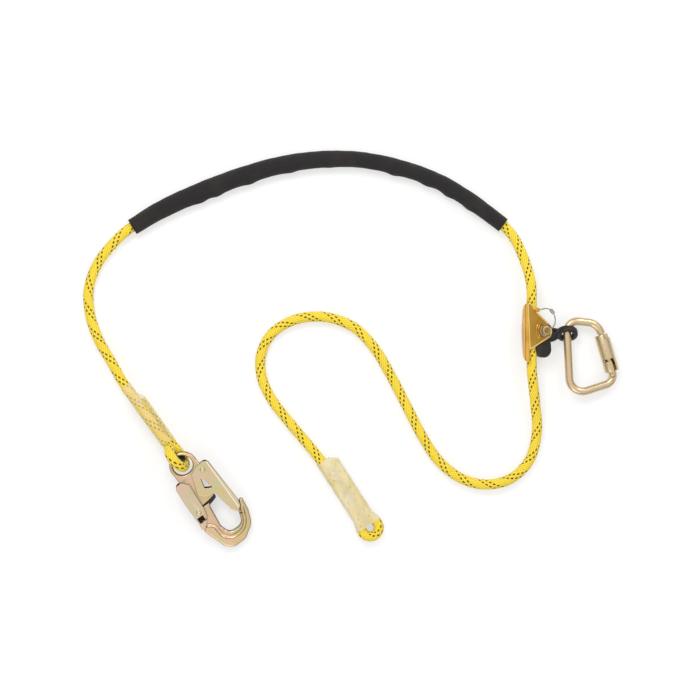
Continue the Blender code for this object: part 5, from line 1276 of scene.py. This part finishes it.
def armGrid(centre, across, slope, normal):
    # rounded rectangle carried from the cam's body to the ring. It rises and twists late on the way, by
    # the ease t * t * (3 - 2 * t) of what comes after the straight share
    made = camMade
    root = np.array([grabMade["axle"] + made["boss"] / 2, -made["armDrop"], 0.0])
    end = np.array(centre - across * (made["ringHole"] + made["ringOuter"]) / 2)
    rows = []
    for t in np.linspace(0, 1, 17):
        late = max(0.0, (t - made["straight"]) / (1 - made["straight"]))
        ease = late * late * (3 - 2 * late)
        middle = root + (end - root) * t
        middle[2] = end[2] * ease
        wide = unit(np.array([0, 1, 0]) * (1 - ease) + np.array(slope) * ease)
        thin = unit(np.array([0, 0, 1]) * (1 - ease) + np.array(normal) * ease)
        halfWide = (made["armRoot"] * (1 - ease) + made["armEnd"] * ease) / 2
        halfThin = (made["armThick"] * (1 - ease) + (made["ringThick"] - grabMade["gap"]) * ease) / 2
        corner = halfThin * made["armRound"]
        shape = rounded([(halfWide, halfThin, corner), (-halfWide, halfThin, corner),
                         (-halfWide, -halfThin, corner), (halfWide, -halfThin, corner)], 15)
        shape = np.vstack([shape, shape[:1]])
        rows.append(middle + wide * shape[:, :1] + thin * shape[:, 1:])
    grid = np.array(rows)
    return np.concatenate([grid, grid[..., :2]], -1)


def ridgeMesh():
    # the rope's round groove with gripping ridges: each rises by the ridge's depth and falls again
    made, far = camMade, grabMade["length"]
    smooth = ropeMade["diameter"] / 2 + grabMade["running"]
    deep, foot = smooth + made["ridgeDepth"], made["ridgePitch"] * made["ridgeFoot"]
    profile = [(0, -far), (deep, -far)]
    for k in range(made["ridges"]):
        at = camShares[2][1] * far + (k + 0.5) * made["ridgePitch"]
        profile += [(deep, at - foot), (smooth, at), (deep, at + foot)]
    profile += [(deep, far / 2), (0, far / 2)]
    return turnedMesh("groove", profile, Matrix.Rotation(math.radians(-90), 4, "X"))


def buildCam():
    # lobe with gripping ridges, boss on the pin, and the arm that ends in the carabiner's ring
    made = camMade
    half, axle = made["thick"] / 2, Matrix.Translation((grabMade["axle"], 0, 0))
    lobe = slab("lobe", [rounded(sized(camShares, grabMade["length"]))], -half, half, made["edge"])
    boss = rodMesh("boss", made["boss"], -half, half, axle)
    centre, *axes = ringAxes()
    arm = surfaceMesh("arm", [armGrid(centre, *axes)])
    turn = Matrix.Translation(centre) @ Matrix(axes).transposed().to_4x4()
    near, far, thin, thick = made["ringHole"], made["ringOuter"], made["ringInner"] / 2, made["ringThick"] / 2
    lower = [(near, -thin, thin * made["holeRound"]), (near + made["ringFlank"], -thick, made["flankRound"]),
             (far, -thick, made["rimRound"])]
    section = rounded(lower + [(x, -y, corner) for x, y, corner in reversed(lower)], 15)
    ring = turnedMesh("ring", [*section, section[0]], turn, 96)
    mesh = carve(lobe, [boss, arm, ring], "UNION")
    bore = rodMesh("bore", made["bore"], -half - overrun, half + overrun, axle)
    through = rodMesh("through", near + made["holeTrim"], -far, far, turn, 96)
    mesh = carve(mesh, [bore, ridgeMesh(), through])
    finishMesh("ropeCam", moved(mesh, grabPlace), "black", "grab_cam", ["grab_cam"], 40)


def buildPin():
    # quick-release pin: tapered nose, shank, collar, head with the button's well, and two ball sockets
    made = pinMade
    under, cut, rim, radius = grabMade["half"] + grabMade["gap"], made["chamfer"], made["rim"], made["radius"]
    collar, top = under + made["collarHeight"], under + made["headHeight"]
    tip, well = -grabMade["half"] - made["tail"], made["cap"] + grabMade["running"]
    floor = top - made["capHeight"] - made["capProud"]
    deep = floor - made["depth"]
    profile = [(0, tip)] + [(radius * out, tip + radius * along) for out, along in pinNoseShares]
    profile += [(radius, under), (made["collar"] - rim, under), (made["collar"], under + rim),
                (made["collar"], collar - rim), (made["collar"] - rim, collar), (made["head"], collar),
                (made["head"], top - cut), (made["head"] - 0.15 * cut, top - 0.4 * cut),
                (made["head"] - cut, top), (well, top), (well, floor), (made["bore"], floor),
                (made["bore"], deep), (0, deep)]
    mesh = turnedMesh("pin", profile, Matrix.Identity(4), 72)
    wide = made["ball"] + grabMade["gap"]
    sockets = []
    for side in (-1, 1):
        out = side * (radius + made["proud"] - made["ball"])
        spot = Matrix.Translation((out, 0, -grabMade["half"] - wide))
        spot = spot @ Matrix.Rotation(side * math.pi / 2, 4, "Y")
        sockets.append(rodMesh("socket", wide, -wide - made["proud"], radius, spot, 24))
    finishMesh("lockPin", moved(carve(mesh, sockets), axlePlace), "pin", "axle_pin", ["axle_pin"])
    return floor, top - made["capHeight"] + made["capProud"], deep + made["capProud"] + grabMade["gap"]


def buildButton(capLow, foot):
    # stem and dished cap, turned in one
    made = pinMade
    cap, rim, top = made["cap"], made["rim"], capLow + made["capHeight"]
    profile = [(0, foot), (made["button"], foot), (made["button"], capLow), (cap - rim / 2, capLow),
               (cap, capLow + rim / 2), (cap, top - made["chamfer"]), (cap - 0.75 * rim, top - rim),
               (cap - made["chamfer"], top), (cap * 0.5, top - 0.75 * rim), (0, top - rim)]
    mesh = turnedMesh("pinButton", profile, axlePlace)
    finishMesh("pinButton", mesh, "button", "pin_button", ["pin_button"])


def buildButtonSpring(floor, capLow):
    # round wire wound up the button's stem, from the well's floor to the cap: angle a lies at
    # low + rise * a / all
    made = pinMade
    radius, seat = (made["button"] + made["cap"]) / 2, grabMade["gap"] + made["wire"] / 2
    spin = np.linspace(0, 2 * math.pi * made["coils"], 24 * made["coils"] + 1)
    rise = floor + seat + (capLow - floor - 2 * seat) * spin / spin[-1]
    line = placed(np.stack([radius * np.cos(spin), radius * np.sin(spin), rise], -1), axlePlace)
    grid = tubeGrid(line, made["wire"] / 2, 12)
    coil = surface("buttonSpring", [grid], "wire", "axle_pin", ["button_spring"])
    tuple(axlePlace @ Vector((0, 0, floor)))
    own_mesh(coil)


def buildCable():
    # wire from its anchor along the chosen route and once round the pin's head, on a circle
    made = cableMade
    radius = pinMade["collar"] + made["gap"] + made["diameter"] / 2
    spin = np.radians(np.arange(*made["loop"]))
    loop = np.stack([grabMade["axle"] + radius * np.cos(spin), radius * np.sin(spin),
                     np.full(len(spin), grabMade["half"] + made["rise"])], -1)
    line = placed(smoothLine(np.vstack([cableRoute, loop]), made["step"]), grabPlace)
    cable = surface("pinCable", [tubeGrid(line, made["drawn"], 16)], "cable", "rope_grab", ["pin_cable"])


buildShell()
buildCam()
wellFloor, capLow, buttonFoot = buildPin()
buildButton(capLow, buttonFoot)
buildButtonSpring(wellFloor, capLow)
buildCable()
dress("bronze", "cam_bush")
dress("bright", "pin_ball_left", "pin_ball_right")
dress("gold", "cable_anchor")
dress("wire", "cable_ferrule")
print("rope grab made")


# Carabiner, in a frame on its long bar: x across to the gate, y up the bar

clipMade = dict(bar=5.0 * mm, heading=math.radians(2.9), width=43.3 * mm, drop=3.9 * mm,
                lean=math.radians(13.4), topRise=16.8 * mm, topSlope=6.4 * mm, below=24.5 * mm,
                cornerBelow=9.6 * mm, cornerTop=13 * mm, cornerNose=22 * mm, cornerBottom=17 * mm,
                cornerHinge=12 * mm, cornerStep=4, roundEnd=(math.radians(20), math.radians(160)),
                barrel=9.0 * mm, barrelLength=47 * mm, bore=7.2 * mm, collar=8.0 * mm, chamfer=0.7 * mm,
                hingeBelow=4.0 * mm, hingePin=1.7 * mm, tongue=4.4 * mm, pocket=6.2 * mm, waist=4.2 * mm,
                shoulder=3.2 * mm, rodRim=0.4 * mm, nose=3.2 * mm, noseTip=0.8, noseRim=0.6 * mm,
                cover=4.4 * mm, coverPlay=1 * mm, neck=2.0 * mm, guide=1.2 * mm, guideRim=0.2 * mm,
                guideUp=14.5 * mm, guideAngle=math.radians(-142),
                slot=(math.radians(-152), math.radians(-55)),
                slotLeg=(math.radians(-80), math.radians(-55)), gap=0.3 * mm, running=0.4 * mm,
                plunger=1.7 * mm, plungerBore=14 * mm, edge=0.25 * mm)


def clipFrames():
    # the bar hangs in the cam's ring and the barrel lies on the floor: sin(dip) = drop / reach. The
    # gate's own frame is on its hinge, with z up the leaning gate
    made = clipMade
    reach = made["width"] + math.sin(made["lean"]) * made["barrelLength"]
    dip = math.asin((camMade["ringMiddle"][2] - made["barrel"] - film["floor"]) / reach)
    place = (Matrix.Translation(camMade["ringMiddle"]) @ Matrix.Rotation(made["heading"], 4, "Z")
             @ Matrix.Rotation(dip, 4, "Y"))
    way = Vector((-math.sin(made["lean"]), math.cos(made["lean"]), 0))
    hinge = Vector((made["width"], -made["drop"], 0)) - way * (made["barrelLength"] + made["hingeBelow"])
    out = Vector((way.y, -way.x, 0))
    turn = Matrix((out, -out.cross(way), way)).transposed().to_4x4()
    return place, hinge, way, Matrix.Translation(hinge) @ turn


clipPlace, clipHinge, gateWay, gatePlace = clipFrames()
hingePlace = Matrix.Translation(clipHinge)


def clipLine():
    # rounded D from the nose's neck over the top, down the bar and along the bottom to the hinge's
    # tongue. Points midway between its corners let each arc use all of its half
    made = clipMade
    neck = clipHinge + gateWay * (made["hingeBelow"] + made["barrelLength"] + made["neck"])
    rise = made["topRise"] - made["topSlope"]
    tongueEnd = clipHinge + gateWay * made["bar"]
    low = clipHinge - gateWay * made["cornerBelow"]
    corners = [(neck.x - (rise - neck.y) * math.tan(made["lean"]), rise, made["cornerNose"]),
               (0, made["topRise"], made["cornerTop"]),
               (0, clipHinge.y - made["below"], made["cornerBottom"]),
               (low.x, low.y, made["cornerHinge"])]
    stops = [(neck.x, neck.y, 0)]
    for one, two in zip(corners, corners[1:]):
        stops += [one, ((one[0] + two[0]) / 2, (one[1] + two[1]) / 2, 0)]
    outline = rounded(stops + [corners[-1], (tongueEnd.x, tongueEnd.y, 0)], made["cornerStep"])
    outline = outline[np.append(True, np.linalg.norm(np.diff(outline, axis=0), axis=1) > 10 * weld)]
    return np.concatenate([outline, np.zeros((len(outline), 1))], -1)


def buildClipBar():
    # circle carried along the rounded D, with a thin nose at one end and the hinge's tongue at the other
    made, bar, lean = clipMade, clipMade["bar"], clipMade["lean"]
    mesh = surfaceMesh("clipBar", [tubeGrid(clipLine(), bar, 48)])
    top = made["hingeBelow"] + made["barrelLength"]
    end, root = top - made["cover"], top + made["neck"] + bar / 2
    nose = [(0, end), (made["nose"] * made["noseTip"], end), (made["nose"], end + made["noseRim"]),
            (made["nose"], root), (0, root)]
    mesh = carve(mesh, [turnedMesh("nose", nose, gatePlace)], "UNION")
    far = bar + overrun
    tools = [rodMesh("cheek", made["pocket"], *sorted((side * made["tongue"] / 2, side * far)), hingePlace)
             for side in (-1, 1)]
    tools.append(rodMesh("pinHole", made["hingePin"] + made["gap"], -bar, bar, hingePlace))
    start, stop = made["roundEnd"]
    tools.append(wedgeMesh("roundEnd", bar, bar * 2, start + lean, stop + lean, -far, far, hingePlace))
    mesh = moved(carve(mesh, tools), clipPlace)
    finishMesh("clipBar", mesh, "bar", "carabiner", ["carabiner_frame"], 40)


def buildGateRod():
    # turned rod with a round foot, bar * (cos, sin), a waist inside the barrel, a fork at its hinge and
    # the bores of the plunger and the guide pin, which is turned too
    made, far = clipMade, clipMade["bar"] + overrun
    bar, waist, low, rim = made["bar"], made["waist"], made["hingeBelow"], made["rodRim"]
    end = low + made["barrelLength"] - made["cover"] - made["running"]
    turn = np.linspace(-math.pi / 2, 0, 10)[1:]
    profile = [(0.0, -bar)] + [(bar * math.cos(t), bar * math.sin(t)) for t in turn]
    profile += [(bar, low + made["collar"] - made["running"]), (waist, low + made["collar"]),
                (waist, end - made["shoulder"]), (bar, end - made["shoulder"]), (bar, end - rim),
                (bar - rim, end), (0, end)]
    mesh = turnedMesh("gateRod", profile, gatePlace)
    slot = made["tongue"] / 2 + made["running"]
    guideTurn = (gatePlace @ Matrix.Translation((0, 0, low + made["guideUp"]))
                 @ Matrix.Rotation(made["guideAngle"], 4, "Z") @ Matrix.Rotation(math.pi / 2, 4, "Y"))
    tools = [rodMesh("fork", made["pocket"], -slot, slot, hingePlace),
             rodMesh("pinHole", made["hingePin"] + made["gap"], -far, far, hingePlace),
             rodMesh("plungerBore", made["plunger"] + made["gap"], made["pocket"] - overrun,
                     made["pocket"] + made["plungerBore"], gatePlace),
             rodMesh("guideHole", made["guide"] + made["gap"], waist / 3, far, guideTurn)]
    mesh = moved(carve(mesh, tools), clipPlace)
    finishMesh("gateRod", mesh, "pressed", "carabiner_gate", ["carabiner_gate"], 40)
    foot, top = waist / 3 + made["gap"], made["barrel"] - made["gap"]
    pin = [(0, foot), (made["guide"], foot), (made["guide"], top - made["guideRim"]),
           (made["guide"] - made["guideRim"], top), (0, top)]
    pin = turnedMesh("guidePin", pin, clipPlace @ guideTurn, 24)
    finishMesh("guidePin", pin, "bright", "carabiner_gate", ["barrel_guide_pin"])


def buildBarrel():
    # turned sleeve with cut rims and a collar at each end, a slot for the nose and a bent one for the
    # guide pin
    made = clipMade
    low, top = made["hingeBelow"], made["hingeBelow"] + made["barrelLength"]
    outer, bore, cut, collar = made["barrel"], made["bar"] + made["running"], made["chamfer"], made["collar"]
    rim = [(bore, 0.0), (outer - cut, 0.0), (outer - 0.3 * cut, 0.3 * cut), (outer, cut)]
    profile = [(r, low + z) for r, z in rim] + [(r, top - z) for r, z in reversed(rim)]
    profile += [(bore, top - collar), (made["bore"], top - collar), (made["bore"], low + collar),
                (bore, low + collar), (bore, low)]
    mesh = turnedMesh("barrel", profile, gatePlace, 96)
    side, far = made["nose"] + made["running"], outer + overrun
    slot = slab("noseSlot", [np.array([(0, -far), (far, -far), (far, side), (0, side)])],
                top - made["cover"] - made["coverPlay"], top + overrun)
    wide, middle, inner = made["guide"] + made["running"], low + made["guideUp"], made["bar"] / 2
    tools = [moved(slot, gatePlace),
             wedgeMesh("around", inner, far, *made["slot"], middle - wide, middle + wide, gatePlace),
             wedgeMesh("leg", inner, far, *made["slotLeg"], low - overrun,
                       middle + wide - made["running"] / 2, gatePlace)]
    mesh = moved(carve(mesh, tools), clipPlace)
    piece = finishMesh("twistBarrel", mesh, "bar", "barrel", ["barrel"], 40)
    softenEdges(piece, made["edge"], 60)


buildClipBar()
buildGateRod()
buildBarrel()
dress("bar", "gate_hinge_pin", "gate_plunger")
print("carabiner made")


# Studio: pale floor that keeps a soft shadow, grey-white world and three soft lamps

studio = dict(world=(0.22, 0.95), worldTop=0.8, worldColour=(1.0, 0.99, 0.97, 1.0), floorHold=0.55,
              floorHalf=6, floorDrop=0.2 * mm, floorColour=(0.92, 0.92, 0.92),
              lamps=(("key", (-0.5, 1.2, 1.6), 0.9, 15.0), ("fill", (1.0, 1.3, 1.1), 0.7, 8.0),
                     ("low", (-0.3, -1.4, 1.1), 0.8, 5.0)))


def buildStudio():
    # world that brightens from the horizon to worldTop of the way up, lamps (name, place, size, watts)
    # that face the middle, and a floor that glows for the camera, but for the floorHold share that takes
    # shadows
    world = bpy.data.worlds.new("world")
    world.use_nodes = True
    sky = Graph(world.node_tree)
    height = sky.split(sky.place("Generated"))[2]
    background = world.node_tree.nodes["Background"]
    background.inputs["Color"].default_value = studio["worldColour"]
    strength = height.between(0.0, studio["worldTop"], *studio["world"])
    world.node_tree.links.new(strength.socket, background.inputs["Strength"])
    bpy.context.scene.world = world
    for name, place, size, power in studio["lamps"]:
        lamp = bpy.data.objects.new(name, bpy.data.lights.new(name, "AREA"))
        lamp.data.shape, lamp.data.size, lamp.data.energy = "DISK", size, power
        lamp.location = place
        lamp.rotation_euler = (Vector((0, 0, 0)) - Vector(place)).to_track_quat("-Z", "Y").to_euler()
        bpy.context.scene.collection.objects.link(lamp)
    half, low = studio["floorHalf"], -studio["floorDrop"]
    floorMesh = bpy.data.meshes.new("floor")
    corners = (-half, -half, low), (half, -half, low), (half, half, low), (-half, half, low)
    floorMesh.from_pydata(corners, [], [(0, 1, 2, 3)])
    floor = bpy.data.objects.new("floor", floorMesh)
    bpy.context.scene.collection.objects.link(floor)
    made = Finish("paleFloor", studio["floorColour"], 0.9)
    rays = made.tree.nodes.new("ShaderNodeLightPath")
    seen = sum(Value(made, rays.outputs[f"Is {kind} Ray"]) for kind in ("Camera", "Glossy", "Transmission"))
    glow = made.add("ShaderNodeEmission", None, {"Color": (1, 1, 1, 1), "Strength": 1.0})
    lit = Value(made, made.shader.outputs[0])
    mixed = made.add("ShaderNodeMixShader", None, [seen * studio["floorHold"], lit, glow])
    made.tree.links.new(mixed.socket, made.tree.nodes["Material Output"].inputs["Surface"])
    floorMesh.materials.append(made.material)


buildStudio()
bpy.context.scene.view_settings.view_transform = "Standard"
print("studio made")
